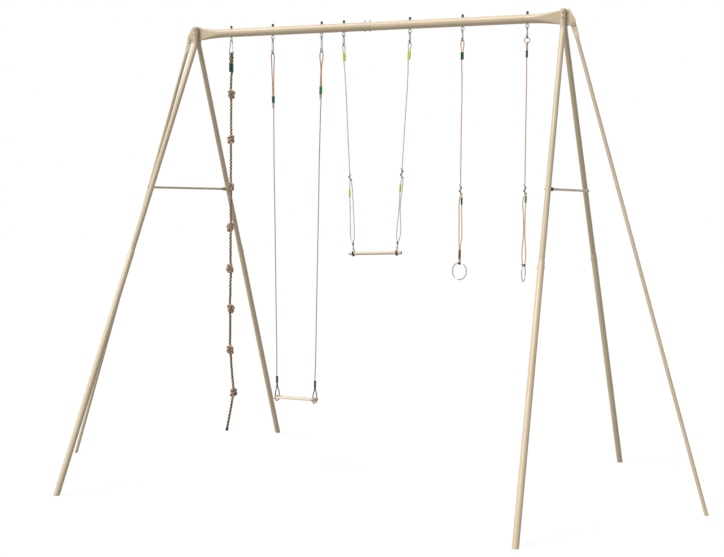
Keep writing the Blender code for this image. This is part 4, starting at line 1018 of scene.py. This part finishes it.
WRAP = ROPE_RADIUS + 0.0010
WRAP_TO = {("trapeze", end): on_bar(BAR_ROPE[end]).z + 0.020 for end in ENDS}
WRAP_TO.update({("ring", end): RING_TOP_Z + 0.007 for end in ENDS})
for (kind, end), line in hung_lines.items():
    wrap = smooth(wire(f"{kind}_foot_wrap_{end}", foot_of(line, WRAP_TO[kind, end]), WRAP))
    dress(wrap, dark_binding, BODIES[kind, end], "adjusters")
BINDING_WALL = 0.0012
BINDINGS = {("trapeze", "left"): (2.083, 2.093, dark_binding),
            ("trapeze", "right"): (2.101, 2.111, dark_binding),
            ("ring", "left"): (1.984, 2.062, brown_whipping)}
for (kind, end), (low_z, high_z, finish) in BINDINGS.items():
    low, high = (hung_places[kind, end](z) for z in (low_z, high_z))
    grip = oval_sleeve(f"{kind}_binding_{end}", low, high, hung_across[kind, end], STRAND, INSIDE,
                       BINDING_WALL)
    dress(grip, finish, BODIES[kind, end], "adjusters")

# %% Tape on the climbing rope's end
TAPE_TOP_Z, TAPE_THICKNESS = 0.356, 0.0012
tape = wire("rope_end_tape", climb_line[climb_line[:, 2] < TAPE_TOP_Z], CLIMB_RADIUS + TAPE_THICKNESS,
            resolution=8)
soften(tape, 0.0015, 3)
dress(smooth(tape), dark_green, "climbing_line", "sleeves")

# %% [markdown]
# ## Eyes, caps, hooks and link
# Each hanger is an eye bolt through the beam with a nut on top and a black cap over
# the nut. The eye is modelled once, from a ring, a neck and a collar that are united,
# and copied to its seven places. A long wire hook hangs in it, with a thin spring gate
# along one side.

# %% Eye bolts and caps
BEAM_HEIGHT = 4.0
BEAM_RADIUS = 0.038
HANGERS = {"climb": (-1.391, True), "low_left": (-0.961, False), "low_right": (-0.469, False),
           "trapeze_left": (-0.251, False), "trapeze_right": (0.381, False),
           "ring_left": (0.866, False), "ring_right": (1.441, False)}
EYE_Z, EYE_RADIUS, EYE_WIRE_RADIUS = 3.9412, 0.0145, 0.004
COLLAR_Z, COLLAR_HEIGHT, COLLAR_RADIUS = 3.9587, 0.003, 0.009
NECK_RADIUS, NECK_ABOVE = 0.005, 0.016
WASHER_RADIUS, WASHER_SUNK, WASHER_TOP = 0.0115, 0.0005, 0.0018
NUT_RADIUS, NUT_TOP = 0.0095, 0.0100
CAP_FROM, CAP_TO, CAP_DOME_FROM, EYE_CAP_RADIUS = 0.0060, 0.0265, 0.0260, 0.0104
LIP_FROM, LIP_TO, LIP_RADIUS = 0.0055, 0.0085, 0.0115
BEAM_TOP = BEAM_HEIGHT + BEAM_RADIUS


def upright(name, low, high, radius, sides=40, edge=0.0, segments=2):
    return bar(name, (0, 0, low), (0, 0, high), radius, sides, edge, segments)


def at_hanger(place):
    x, turned = HANGERS[place]
    return Matrix.Translation((x, 0, 0)) @ Matrix.Rotation(math.pi / 2 if turned else 0.0, 4, "Z")


deselect()
bpy.ops.mesh.primitive_torus_add(major_radius=EYE_RADIUS, minor_radius=EYE_WIRE_RADIUS, major_segments=48,
                                 minor_segments=16, location=(0, 0, EYE_Z), rotation=(math.pi / 2, 0, 0))
eye = named("eye")
neck = upright("neck", EYE_Z + EYE_RADIUS - 0.002, BEAM_TOP + NECK_ABOVE, NECK_RADIUS, 32, 0.001)
collar = upright("collar", COLLAR_Z, COLLAR_Z + COLLAR_HEIGHT, COLLAR_RADIUS, 40, 0.0009, 3)
for other in (neck, collar):
    modify(eye, "BOOLEAN", operation="UNION", solver="EXACT", object=other)
    put_away(other)
washer = upright("washer", BEAM_TOP - WASHER_SUNK, BEAM_TOP + WASHER_TOP, WASHER_RADIUS, 40, 0.0005)
nut = upright("nut", BEAM_TOP + WASHER_TOP, BEAM_TOP + NUT_TOP, NUT_RADIUS, 6, 0.0008)
eye = smooth(merged("eye", [eye, washer, nut]))
cap = upright("cap", BEAM_TOP + CAP_FROM, BEAM_TOP + CAP_TO, EYE_CAP_RADIUS)
cap = round_edges(cap, lambda place: place.z > BEAM_TOP + CAP_DOME_FROM, 0.0070, 6)
lip = upright("lip", BEAM_TOP + LIP_FROM, BEAM_TOP + LIP_TO, LIP_RADIUS, 40, 0.0007)
cap = smooth(merged("cap", [cap, lip]))
for place in HANGERS:
    where = at_hanger(place)
    dress(placed_copy(eye, f"eye_of_{place}", where), zinc, "frame", "fasteners", f"eye_bolt_{place}")
    dress(placed_copy(cap, f"cap_of_{place}", where), black_plastic, "frame", "black_caps")
put_away(eye, cap)

# %% Hooks with their gates
HOOK_HEAD_RADIUS = 0.0085
NOSE_SPAN, GATE_SPAN, HINGE_AT = (0.12, 0.22), (0.24, 0.86), 0.92
HINGE_HALF, HINGE_RADIUS = 0.0062, 0.0042
HOOK_BODIES = {"climb": "climbing_hook", "low_left": "low_swing", "low_right": "low_swing",
               "trapeze_left": "trapeze", "trapeze_right": "trapeze",
               "ring_left": "ring_hanger_left", "ring_right": "ring_hanger_right"}


def hook_pieces(foot_radius, foot_z):
    # One hook at x = 0, in the plane across the beam: its wire, its gate and the gate's hinge
    head, foot = Vector((0, 0, PIVOT_Z)), Vector((0, 0, foot_z + foot_radius))
    points = arc(head, Y, Z, HOOK_HEAD_RADIUS, 0, 180, 18) + arc(foot, Y, Z, foot_radius, 180, 360, 22)
    loop = wire("hook_wire", points, HOOK_RADIUS, closed=True, resolution=7)
    top, bottom = head - Y * HOOK_HEAD_RADIUS, foot - Y * foot_radius
    nose = bar("nose", *(top.lerp(bottom, share) for share in NOSE_SPAN), HOOK_RADIUS + 0.0010, 24, 0.0007)
    gate = bar("gate", *(top.lerp(bottom, share) for share in GATE_SPAN), HOOK_RADIUS + 0.0006, 24, 0.0007)
    pin = top.lerp(bottom, HINGE_AT)
    hinge = bar("hinge", pin - X * HINGE_HALF, pin + X * HINGE_HALF, HINGE_RADIUS, 24, 0.0010)
    return smooth(merged("hook_wire", [loop, nose])), smooth(gate), smooth(hinge)


HOOK_KINDS = ((0.019, LONG_HOOK_FOOT_Z, ("climb",)), (0.014, LONG_HOOK_FOOT_Z, ("low_left", "low_right")),
              (0.014, HOOK_FOOT_Z, ("trapeze_left", "trapeze_right", "ring_left", "ring_right")))
for foot_radius, foot_z, places in HOOK_KINDS:
    pieces = hook_pieces(foot_radius, foot_z)
    for place in places:
        copies = (placed_copy(piece, f"{piece.name}_of_{place}", at_hanger(place)) for piece in pieces)
        loop, gate, hinge = copies
        dress(loop, hook_steel, HOOK_BODIES[place], "hooks", f"hook_{place}")
        dress(gate, gate_steel, HOOK_BODIES[place], "hooks")
        dress(hinge, dark_binding, HOOK_BODIES[place], "hooks")
    put_away(*pieces)


# %% [markdown]
# ## Welded rings
# The link and the two gym rings are bent from a round bar and welded shut. A torus is
# the right start. A weld leaves a slightly thicker place, which goes at the side of
# the link and at the foot of a gym ring, away from the rope.

# %% Welded rings
WELD_SWELL, WELD_REACH = 0.09, 0.0022


def welded_ring(name, centre, radius, wire_radius, turn, weld_at, sides):
    deselect()
    bpy.ops.mesh.primitive_torus_add(major_radius=radius, minor_radius=wire_radius, major_segments=sides[0],
                                     minor_segments=sides[1])
    piece = named(name)
    for vertex in piece.data.vertices:
        angle = math.atan2(vertex.co.y, vertex.co.x)
        middle = Vector((math.cos(angle), math.sin(angle), 0)) * radius
        away = (angle - weld_at + math.pi) % (2 * math.pi) - math.pi
        swell = WELD_SWELL * math.exp(-(away * radius / WELD_REACH) ** 2)
        vertex.co = middle + (vertex.co - middle) * (1 + swell)
    piece.data.transform(Matrix.Translation(centre) @ Matrix.Rotation(turn, 4, "Z")
                         @ Matrix.Rotation(math.pi / 2, 4, "X"))
    return smooth(piece)


link = welded_ring("link_ring", (RING_X["right"], 0, LINK_Z), LINK_RADIUS, LINK_WIRE_RADIUS, 0.0, 0.0,
                   (72, 18))
dress(link, hook_steel, "ring_line_right", "hooks", "ring_link")
RING_SLACK_TURN = {"left": 0.0, "right": math.radians(5.5)}
for end in ENDS:
    grip = welded_ring(f"steel_ring_{end}", (RING_X[end], 0, RING_CENTRE_Z), RING_RADIUS, RING_WIRE_RADIUS,
                       RING_SLACK_TURN[end] - RING_TURN[end], -math.pi / 2, (144, 24))
    dress(grip, ring_steel, f"ring_{end}", "gym_rings", f"gym_ring_{end}")


# %% [markdown]
# ## Wood
# The seat is one light board held in the grooves of two rounded cleats. The trapeze
# has a round bar. The grain runs along each piece, so the noise that makes it is
# stretched along that piece, and the sawn ends are darker, as end grain is.

# %% Wood finish
def wood(name, light, dark, along, ends_from, middle=0.0):
    finish, tree, shader = new_finish(name, 0.55)
    stretch = [26.0, 26.0, 26.0]
    stretch[along] = 1.6
    where = coordinates(tree, tuple(stretch))
    broad = noise(tree, where, 2.2, 4.0, 0.6)
    fine = noise(tree, where, 11.0, 3.0, 0.7)
    tone = ramp(tree, broad, (0.30, dark), (0.50, light), (0.72, light))
    tone = mixed(tree, arithmetic(tree, "MULTIPLY", fine, 0.35), tone, dark)
    place = tree.nodes.new("ShaderNodeSeparateXYZ")
    tree.links.new(coordinates(tree), place.inputs[0])
    reach = arithmetic(tree, "ABSOLUTE", arithmetic(tree, "SUBTRACT", place.outputs[along], middle))
    past_end = arithmetic(tree, "MULTIPLY", arithmetic(tree, "SUBTRACT", reach, ends_from), 400.0)
    end_grain = ramp(tree, past_end, (0.0, AS_IS), (1.0, (0.55, 0.45, 0.36)))
    tree.links.new(mixed(tree, 1.0, tone, end_grain, "MULTIPLY"), shader.inputs["Base Color"])
    relief(tree, shader, fine, 0.25, 0.0003)
    return finish


cleat_wood = wood("cleat_wood", (0.74, 0.62, 0.49), (0.52, 0.38, 0.26), 1, 0.0470)
board_wood = wood("board_wood", (0.84, 0.75, 0.63), (0.66, 0.53, 0.40), 0, 0.1810, -0.7015)
bar_wood = wood("bar_wood", (0.74, 0.65, 0.55), (0.54, 0.44, 0.35), 0, 0.2515, 0.073)

# %% Seat
CLEAT_WIDTH, CLEAT_DEPTH, CLEAT_ROUNDING = 0.026, 0.098, 0.0085
BOARD_DEPTH, BOARD_THICKNESS, BOARD_TONGUE = 0.108, 0.014, 0.0045
SEAT_FIT, CUT_PAST = 0.0003, 0.02

half = CLEAT_WIDTH / 2
cleat = block("cleat", (-half, -CLEAT_DEPTH / 2, CLEAT_BOTTOM), (half, CLEAT_DEPTH / 2, CLEAT_TOP))
cleat = round_edges(cleat, lambda place: True, CLEAT_ROUNDING, 6)
holes = [bar("hole", (0, y, CLEAT_BOTTOM - CUT_PAST), (0, y, CLEAT_TOP + CUT_PAST), HOLE, 32)
         for y in (-HALF_HOLES, HALF_HOLES)]
groove = block("groove", (half - BOARD_TONGUE - SEAT_FIT, -BOARD_DEPTH / 2 - SEAT_FIT,
                          SEAT_Z - BOARD_THICKNESS / 2 - SEAT_FIT),
               (half + CUT_PAST, BOARD_DEPTH / 2 + SEAT_FIT, SEAT_Z + BOARD_THICKNESS / 2 + SEAT_FIT))
cleat = smooth(carve(cleat, *holes, groove))
for end, turn in (("left", 0.0), ("right", math.pi)):
    where = Matrix.Translation((SEAT_ROPE[end], 0, 0)) @ Matrix.Rotation(turn, 4, "Z")
    made = placed_copy(cleat, f"wooden_cleat_{end}", where)
    dress(made, cleat_wood, "low_swing", "wood", f"seat_cleat_{end}")
put_away(cleat)
tongue_end = half - BOARD_TONGUE
board = block("wooden_board",
              (SEAT_ROPE["left"] + tongue_end, -BOARD_DEPTH / 2, SEAT_Z - BOARD_THICKNESS / 2),
              (SEAT_ROPE["right"] - tongue_end, BOARD_DEPTH / 2, SEAT_Z + BOARD_THICKNESS / 2))
dress(smooth(soften(board, 0.0022, 4)), board_wood, "low_swing", "wood", "seat_board")

# %% Trapeze bar
grip_bar = smooth(bar("wooden_grip_bar", BAR_START, BAR_END, BAR_RADIUS, 56, 0.0035, 5))
dress(grip_bar, bar_wood, "trapeze", "wood", "trapeze_bar")

# %% [markdown]
# ## Painted tubes
# Every tube of the frame is cream powder coat on steel: a smooth, slightly pebbled
# skin with a broad gloss. Where a tube is bolted to another it is pressed flat. The
# tube is made round first, given its wall and softened rims, and only then pressed, so
# its wall keeps its thickness.

# %% Powder coat
paint, tree, shader = new_finish("cream_powder_coat", 0.40)
shader.inputs["Specular IOR Level"].default_value = 0.6
where = coordinates(tree)
cloud = noise(tree, where, 2.4, 3.0)
tree.links.new(ramp(tree, cloud, (0.32, (0.570, 0.473, 0.330)), (0.68, (0.620, 0.523, 0.376))),
               shader.inputs["Base Color"])
tree.links.new(ramp(tree, noise(tree, where, 9.0, 2.0), (0.3, (0.36,) * 3), (0.7, (0.44,) * 3)),
               shader.inputs["Roughness"])
relief(tree, shader, noise(tree, where, 620.0, 2.0), 0.10, 0.0002)


# %% Round and pressed tubes
def hollow(piece, wall, edge=0.0008):
    modify(piece, "SOLIDIFY", thickness=wall, offset=-1.0, use_even_offset=True)
    soften(piece, edge, 3)
    return smooth(piece)


def ease(share):
    share = min(max(share, 0.0), 1.0)
    return share * share * (3 - 2 * share)


def press(piece, start, way, wide, radius, half_at):
    # Each section keeps its way round and its wall, and becomes two half circles joined straight
    thin = way.cross(wide)
    for vertex in piece.data.vertices:
        offset = vertex.co - start
        reach = offset.dot(way)
        spoke = offset - way * reach
        ray, half = spoke.normalized(), half_at(reach)
        part = half - (radius - spoke.length)
        straight = math.pi * (radius - half) / 2 * (1 if spoke.dot(wide) > 0 else -1)
        vertex.co = (start + way * reach + wide * (part * ray.dot(wide) + straight)
                     + thin * part * ray.dot(thin))
    return smooth(piece)


# %% Beam
BEAM_HALF_LENGTH, BEAM_WALL, BEAM_FLAT = 1.798, 0.003, 0.0033
BEAM_FLARE_START, BEAM_FLAT_START = 1.470, 1.722
BEAM_FLARE_POWER = 1.7
BEAM_SEAM_X = 0.019
SPIGOT_RIGHT, SPIGOT_LEFT, SPIGOT_FIT = 0.004, 0.150, 0.0003
STEPS = 14


def beam_half(reach):
    out = BEAM_HALF_LENGTH - reach
    share = min(max((out - BEAM_FLARE_START) / (BEAM_FLAT_START - BEAM_FLARE_START), 0.0), 1.0)
    return BEAM_RADIUS + (BEAM_FLAT - BEAM_RADIUS) * share ** BEAM_FLARE_POWER


flare = [BEAM_HALF_LENGTH - BEAM_FLAT_START + (BEAM_FLAT_START - BEAM_FLARE_START) * step / STEPS
         for step in range(STEPS + 1)]
for end, side in (("left", -1), ("right", 1)):
    start = Vector((side * BEAM_HALF_LENGTH, 0, BEAM_HEIGHT))
    seam = Vector((BEAM_SEAM_X - (TOUCH if side < 0 else 0.0), 0, BEAM_HEIGHT))
    piece = hollow(tube(f"beam_tube_{end}", start, seam, BEAM_RADIUS, 64, flare), BEAM_WALL, 0.0011)
    press(piece, start, -X * side, Z, BEAM_RADIUS, beam_half)
    if side > 0:
        spigot = tube("spigot", seam + X * SPIGOT_RIGHT, seam - X * SPIGOT_LEFT,
                      BEAM_RADIUS - BEAM_WALL - SPIGOT_FIT, 64)
        spigot = hollow(spigot, BEAM_WALL)
        piece = merged(piece.name, [piece, spigot])
    dress(piece, paint, "frame", "frame_paint", f"beam_{end}")

# %% Legs
LEG_TOP_X, LEG_TOP_Y, LEG_TOP_RISE, LEG_BEND_Z, LEG_BEND_RADIUS = 1.755, 0.0266, 0.066, 3.91, 0.120
UPPER_RADIUS, UPPER_WALL, LOWER_RADIUS, LOWER_WALL = 0.023, 0.0025, 0.026, 0.0027
LEG_JOINT_Z, LEG_LAP_ABOVE, LEG_LAP_BELOW = 1.970, 0.050, 0.110
FOOT_PLUG, PLUG_FIT, LEG_BELOW_GROUND = 0.030, 0.0002, 0.05
FOOT_X = {"front": 1.998, "back": 1.848}
FOOT_SPREAD_Y = 1.828
SIDES = (("left", -1), ("right", 1))
FACES = (("front", -1), ("back", 1))


def leg_line(side, face_name, face):
    bend = Vector((side * LEG_TOP_X, face * LEG_TOP_Y, LEG_BEND_Z))
    return bend, Vector((side * FOOT_X[face_name], face * FOOT_SPREAD_Y, 0.0))


def on_leg(side, face_name, face, z):
    bend, foot = leg_line(side, face_name, face)
    return bend.lerp(foot, (bend.z - z) / bend.z)


def bent_line(top, bend, end, radius, steps=14):
    before, after = (top - bend).normalized(), (end - bend).normalized()
    opening = before.angle(after)
    reach = radius / math.tan(opening / 2)
    centre = bend + (before + after).normalized() * radius / math.sin(opening / 2)
    first, last = bend + before * reach - centre, bend + after * reach - centre
    middle = [first.slerp(last, step / steps).normalized() * radius for step in range(steps + 1)]
    return [top] + [centre + offset for offset in middle] + [end]


def cut_flat(piece, foot, room=0.2):
    below = block("below_ground", (foot.x - room, foot.y - room, -room), (foot.x + room, foot.y + room, 0))
    return carve(piece, below)


for end, side in SIDES:
    for face_name, face in FACES:
        bend, foot = leg_line(side, face_name, face)
        way = (foot - bend).normalized()
        joint = on_leg(side, face_name, face, LEG_JOINT_Z)
        top = Vector((bend.x, bend.y, BEAM_HEIGHT + LEG_TOP_RISE))
        line = bent_line(top, bend, joint + way * LEG_LAP_BELOW, LEG_BEND_RADIUS)
        upper = wire(f"upper_tube_{face_name}_{end}", line, UPPER_RADIUS, resolution=20, caps=False)
        dress(hollow(upper, UPPER_WALL), paint, "frame", "frame_paint", f"upper_leg_{face_name}_{end}")
        low_end = foot + way * LEG_BELOW_GROUND
        lower = tube(f"lower_tube_{face_name}_{end}", joint - way * LEG_LAP_ABOVE, low_end, LOWER_RADIUS, 56)
        lower = hollow(lower, LOWER_WALL)
        plug = bar("plug", foot - way * FOOT_PLUG, low_end, LOWER_RADIUS - LOWER_WALL - PLUG_FIT, 48)
        lower = smooth(cut_flat(merged(lower.name, [lower, plug]), foot))
        dress(lower, paint, "frame", "frame_paint", f"lower_leg_{face_name}_{end}")

# %% Side struts
STRUT_RADIUS, STRUT_WALL, STRUT_FLAT = 0.0155, 0.002, 0.0023
STRUT_BOLT_X, STRUT_BOLT_Z, STRUT_FOOT_X, STRUT_FOOT_Y = 1.832, 3.955, 3.032, -0.130
STRUT_TAB_ABOVE, STRUT_TAB, STRUT_FLARE, STRUT_BELOW_GROUND = 0.014, 0.060, 0.090, 0.04


def strut_half(reach):
    share = ease((reach - STRUT_TAB_ABOVE - STRUT_TAB) / STRUT_FLARE)
    return STRUT_FLAT + (STRUT_RADIUS - STRUT_FLAT) * share


for end, side in SIDES:
    bolt_place = Vector((side * STRUT_BOLT_X, 0, STRUT_BOLT_Z))
    foot = Vector((side * STRUT_FOOT_X, 0, 0))
    way = (foot - bolt_place).normalized()
    wide = Vector((way.z, 0, -way.x))
    start, low_end = bolt_place - way * STRUT_TAB_ABOVE, foot + way * STRUT_BELOW_GROUND
    flare = [STRUT_TAB_ABOVE + STRUT_TAB + STRUT_FLARE * step / 12 for step in range(13)]
    piece = hollow(tube(f"side_tube_{end}", start, low_end, STRUT_RADIUS, 48, flare), STRUT_WALL, 0.0006)
    press(piece, start, way, wide, STRUT_RADIUS, strut_half)
    plug = bar("plug", foot - way * FOOT_PLUG, low_end, STRUT_RADIUS - STRUT_WALL - PLUG_FIT, 40)
    piece = merged(piece.name, [piece, plug])
    length = (foot - bolt_place).length
    for vertex in piece.data.vertices:
        reach = (vertex.co - bolt_place).dot(way)
        vertex.co.y += STRUT_FOOT_Y * max(reach - STRUT_TAB, 0.0) / (length - STRUT_TAB)
    piece = smooth(cut_flat(piece, foot + Y * STRUT_FOOT_Y))
    dress(piece, paint, "frame", "frame_paint", f"side_strut_{end}")

# %% Braces
BRACE_Z, BRACE_RADIUS, BRACE_WALL, BRACE_FLAT = 2.577, 0.0105, 0.0012, 0.0015
BRACE_OFFSET, BRACE_PAST_BOLT, BRACE_TAB, BRACE_FLARE = 0.0255, 0.014, 0.040, 0.045
for end, side in SIDES:
    first, last = (on_leg(side, face_name, face, BRACE_Z) + X * side * BRACE_OFFSET
                   for face_name, face in FACES)
    way = (last - first).normalized()
    start, length = first - way * BRACE_PAST_BOLT, (last - first).length + 2 * BRACE_PAST_BOLT
    flare = [BRACE_PAST_BOLT + BRACE_TAB + BRACE_FLARE * step / 10 for step in range(11)]

    def brace_half(reach):
        from_end = min(reach, length - reach) - BRACE_PAST_BOLT - BRACE_TAB
        return BRACE_FLAT + (BRACE_RADIUS - BRACE_FLAT) * ease(from_end / BRACE_FLARE)

    piece = tube(f"cross_tube_{end}", start, start + way * length, BRACE_RADIUS, 32,
                 flare + [length - reach for reach in flare])
    press(hollow(piece, BRACE_WALL, 0.0004), start, way, Z, BRACE_RADIUS, brace_half)
    dress(piece, paint, "frame", "frame_paint", f"brace_{end}")

# %% [markdown]
# ## Bolts and bracket plates
# A bolt is a six-sided head with softened corners, a shank and a nut with the shank's
# end past it. One bolt of each length is made upright at the middle and copied to its
# places. The plates at the beam's ends are cut from flat steel, with one corner
# clipped.


# %% Bolts
# The first six are shares of the bolt's diameter
BOLT_HEAD, BOLT_NUT, BOLT_SPREAD, BOLT_WASHER, BOLT_EDGE, SHANK_EDGE = 0.65, 0.8, 0.9, 1.05, 0.10, 0.08
WASHER_OUT, WASHER_IN = 0.0012, 0.0004


def bolt(name, grip, diameter, end=0.35, washer=True):
    spread, edge, nut_top = BOLT_SPREAD * diameter, BOLT_EDGE * diameter, grip + BOLT_NUT * diameter
    pieces = [upright(name, -BOLT_HEAD * diameter, 0, spread, 6, edge),
              upright("shank", -0.001, nut_top + end * diameter, diameter / 2, 28, SHANK_EDGE * diameter),
              upright("nut", grip, nut_top, spread, 6, edge)]
    if washer:
        for low, high in ((grip - WASHER_IN, grip + WASHER_OUT), (-WASHER_OUT, WASHER_IN)):
            pieces.append(upright("washer", low, high, BOLT_WASHER * diameter, 32, 0.0004))
    return smooth(merged(name, pieces))


def aimed(start, end):
    return Matrix.Translation(start) @ (end - start).to_track_quat("Z", "Y").to_matrix().to_4x4()


THICK_BOLT, THIN_BOLT = 0.010, 0.008
APEX_BOLTS = (("upper", 0.042), ("lower", 0.0))
BRACE_SEAT = UPPER_RADIUS + 0.0050
apex_reach = LEG_TOP_Y + UPPER_RADIUS
long_bolt = bolt("long_bolt", 2 * apex_reach, THICK_BOLT)
joint_bolt = bolt("joint_bolt", 2 * LOWER_RADIUS, THIN_BOLT, 0.2)
brace_bolt = bolt("brace_bolt", UPPER_RADIUS + BRACE_SEAT, THIN_BOLT, 0.1)
# Two of the braces' four ends have a black cap in the picture
CAPPED = (("front", "right"), ("back", "left"))
CAP_HEIGHT, CAP_RADIUS = 0.0115, 0.0135
cap_nut = upright("cap_nut", 0, CAP_HEIGHT, CAP_RADIUS)
cap_nut = smooth(round_edges(cap_nut, lambda place: place.z > CAP_HEIGHT - 0.0001, 0.0050, 5))
for end, side in SIDES:
    for place, rise in APEX_BOLTS:
        at = Vector((side * LEG_TOP_X, 0, BEAM_HEIGHT + rise))
        where = aimed(at - Y * apex_reach, at + Y * apex_reach)
        made = placed_copy(long_bolt, f"long_bolt_{place}_{end}", where)
        dress(made, paint, "frame", "fasteners", f"apex_bolt_{place}_{end}")
    for face_name, face in FACES:
        at = on_leg(side, face_name, face, LEG_JOINT_Z)
        where = aimed(at + X * side * LOWER_RADIUS, at - X * side * LOWER_RADIUS)
        dress(placed_copy(joint_bolt, f"joint_bolt_{face_name}_{end}", where), zinc, "frame", "fasteners")
        at = on_leg(side, face_name, face, BRACE_Z)
        inner, outer = at - X * side * UPPER_RADIUS, at + X * side * BRACE_SEAT
        made = placed_copy(brace_bolt, f"cross_bolt_{face_name}_{end}", aimed(inner, outer))
        dress(made, zinc, "frame", "fasteners", f"brace_bolt_{face_name}_{end}")
        if (face_name, end) in CAPPED:
            made = placed_copy(cap_nut, f"cross_bolt_cap_{face_name}_{end}", aimed(outer, outer + X * side))
            dress(made, black_plastic, "frame", "black_caps")
put_away(long_bolt, joint_bolt, brace_bolt, cap_nut)

# %% Studs through the beam's joint
STUD_X, STUD_RADIUS, STUD_ABOVE = (-0.046, 0.0015), 0.004, 0.024
STUD_HEAD, STUD_NUT, STUD_SPREAD = (-0.0068, -0.0003), (0.0002, 0.0062), 0.0072
stud_low = BEAM_HEIGHT - BEAM_RADIUS
head_low, head_high = (stud_low + rise for rise in STUD_HEAD)
nut_low, nut_high = (BEAM_TOP + rise for rise in STUD_NUT)
stud = merged("stud", [upright("stud", stud_low - 0.001, BEAM_TOP + STUD_ABOVE, STUD_RADIUS, 24, 0.0005),
                       upright("head", head_low, head_high, STUD_SPREAD, 6, 0.0007),
                       upright("nut", nut_low, nut_high, STUD_SPREAD, 6, 0.0007)])
for number, x in enumerate(STUD_X, 1):
    made = placed_copy(stud, f"beam_joint_stud_{number}", Matrix.Translation((x, 0, 0)))
    dress(smooth(made), zinc, "frame", "fasteners")
put_away(stud)

# %% Bracket plates
BRACKET_LOW, BRACKET_HIGH = Vector((1.7795, -0.0086, 3.928)), Vector((1.856, -0.0036, 4.066))
BEAM_GRIP, STRUT_GRIP = 0.0122, 0.0112
BRACKET_BOLTS = ((1.787, 4.042, BEAM_GRIP), (1.787, 4.0, BEAM_GRIP), (STRUT_BOLT_X, STRUT_BOLT_Z, STRUT_GRIP))
SLANT_FROM, SLANT = Vector((1.803, 0, 4.066)), Vector((0.863, 0, 0.504))
plate = block("plate", BRACKET_LOW, BRACKET_HIGH)
cut_across(plate, SLANT_FROM, SLANT, use_fill=True, clear_outer=True)
plate = smooth(soften(plate, 0.0010, 3, 20))
short_bolts = {grip: bolt("short_bolt", grip, THICK_BOLT, 0.3, False) for grip in (BEAM_GRIP, STRUT_GRIP)}
for end, side in SIDES:
    flip = Matrix.Scale(side, 4, X)
    made = face_out(placed_copy(plate, f"corner_plate_{end}", flip))
    dress(made, paint, "frame", "frame_paint", f"apex_bracket_{end}")
    for number, (x, z, grip) in enumerate(BRACKET_BOLTS, 1):
        where = aimed(Vector((side * x, BRACKET_LOW.y, z)), Vector((side * x, 0.1, z)))
        made = placed_copy(short_bolts[grip], f"corner_bolt_{number}_{end}", where)
        dress(made, paint, "frame", "frame_paint")
put_away(plate, *short_bolts.values())
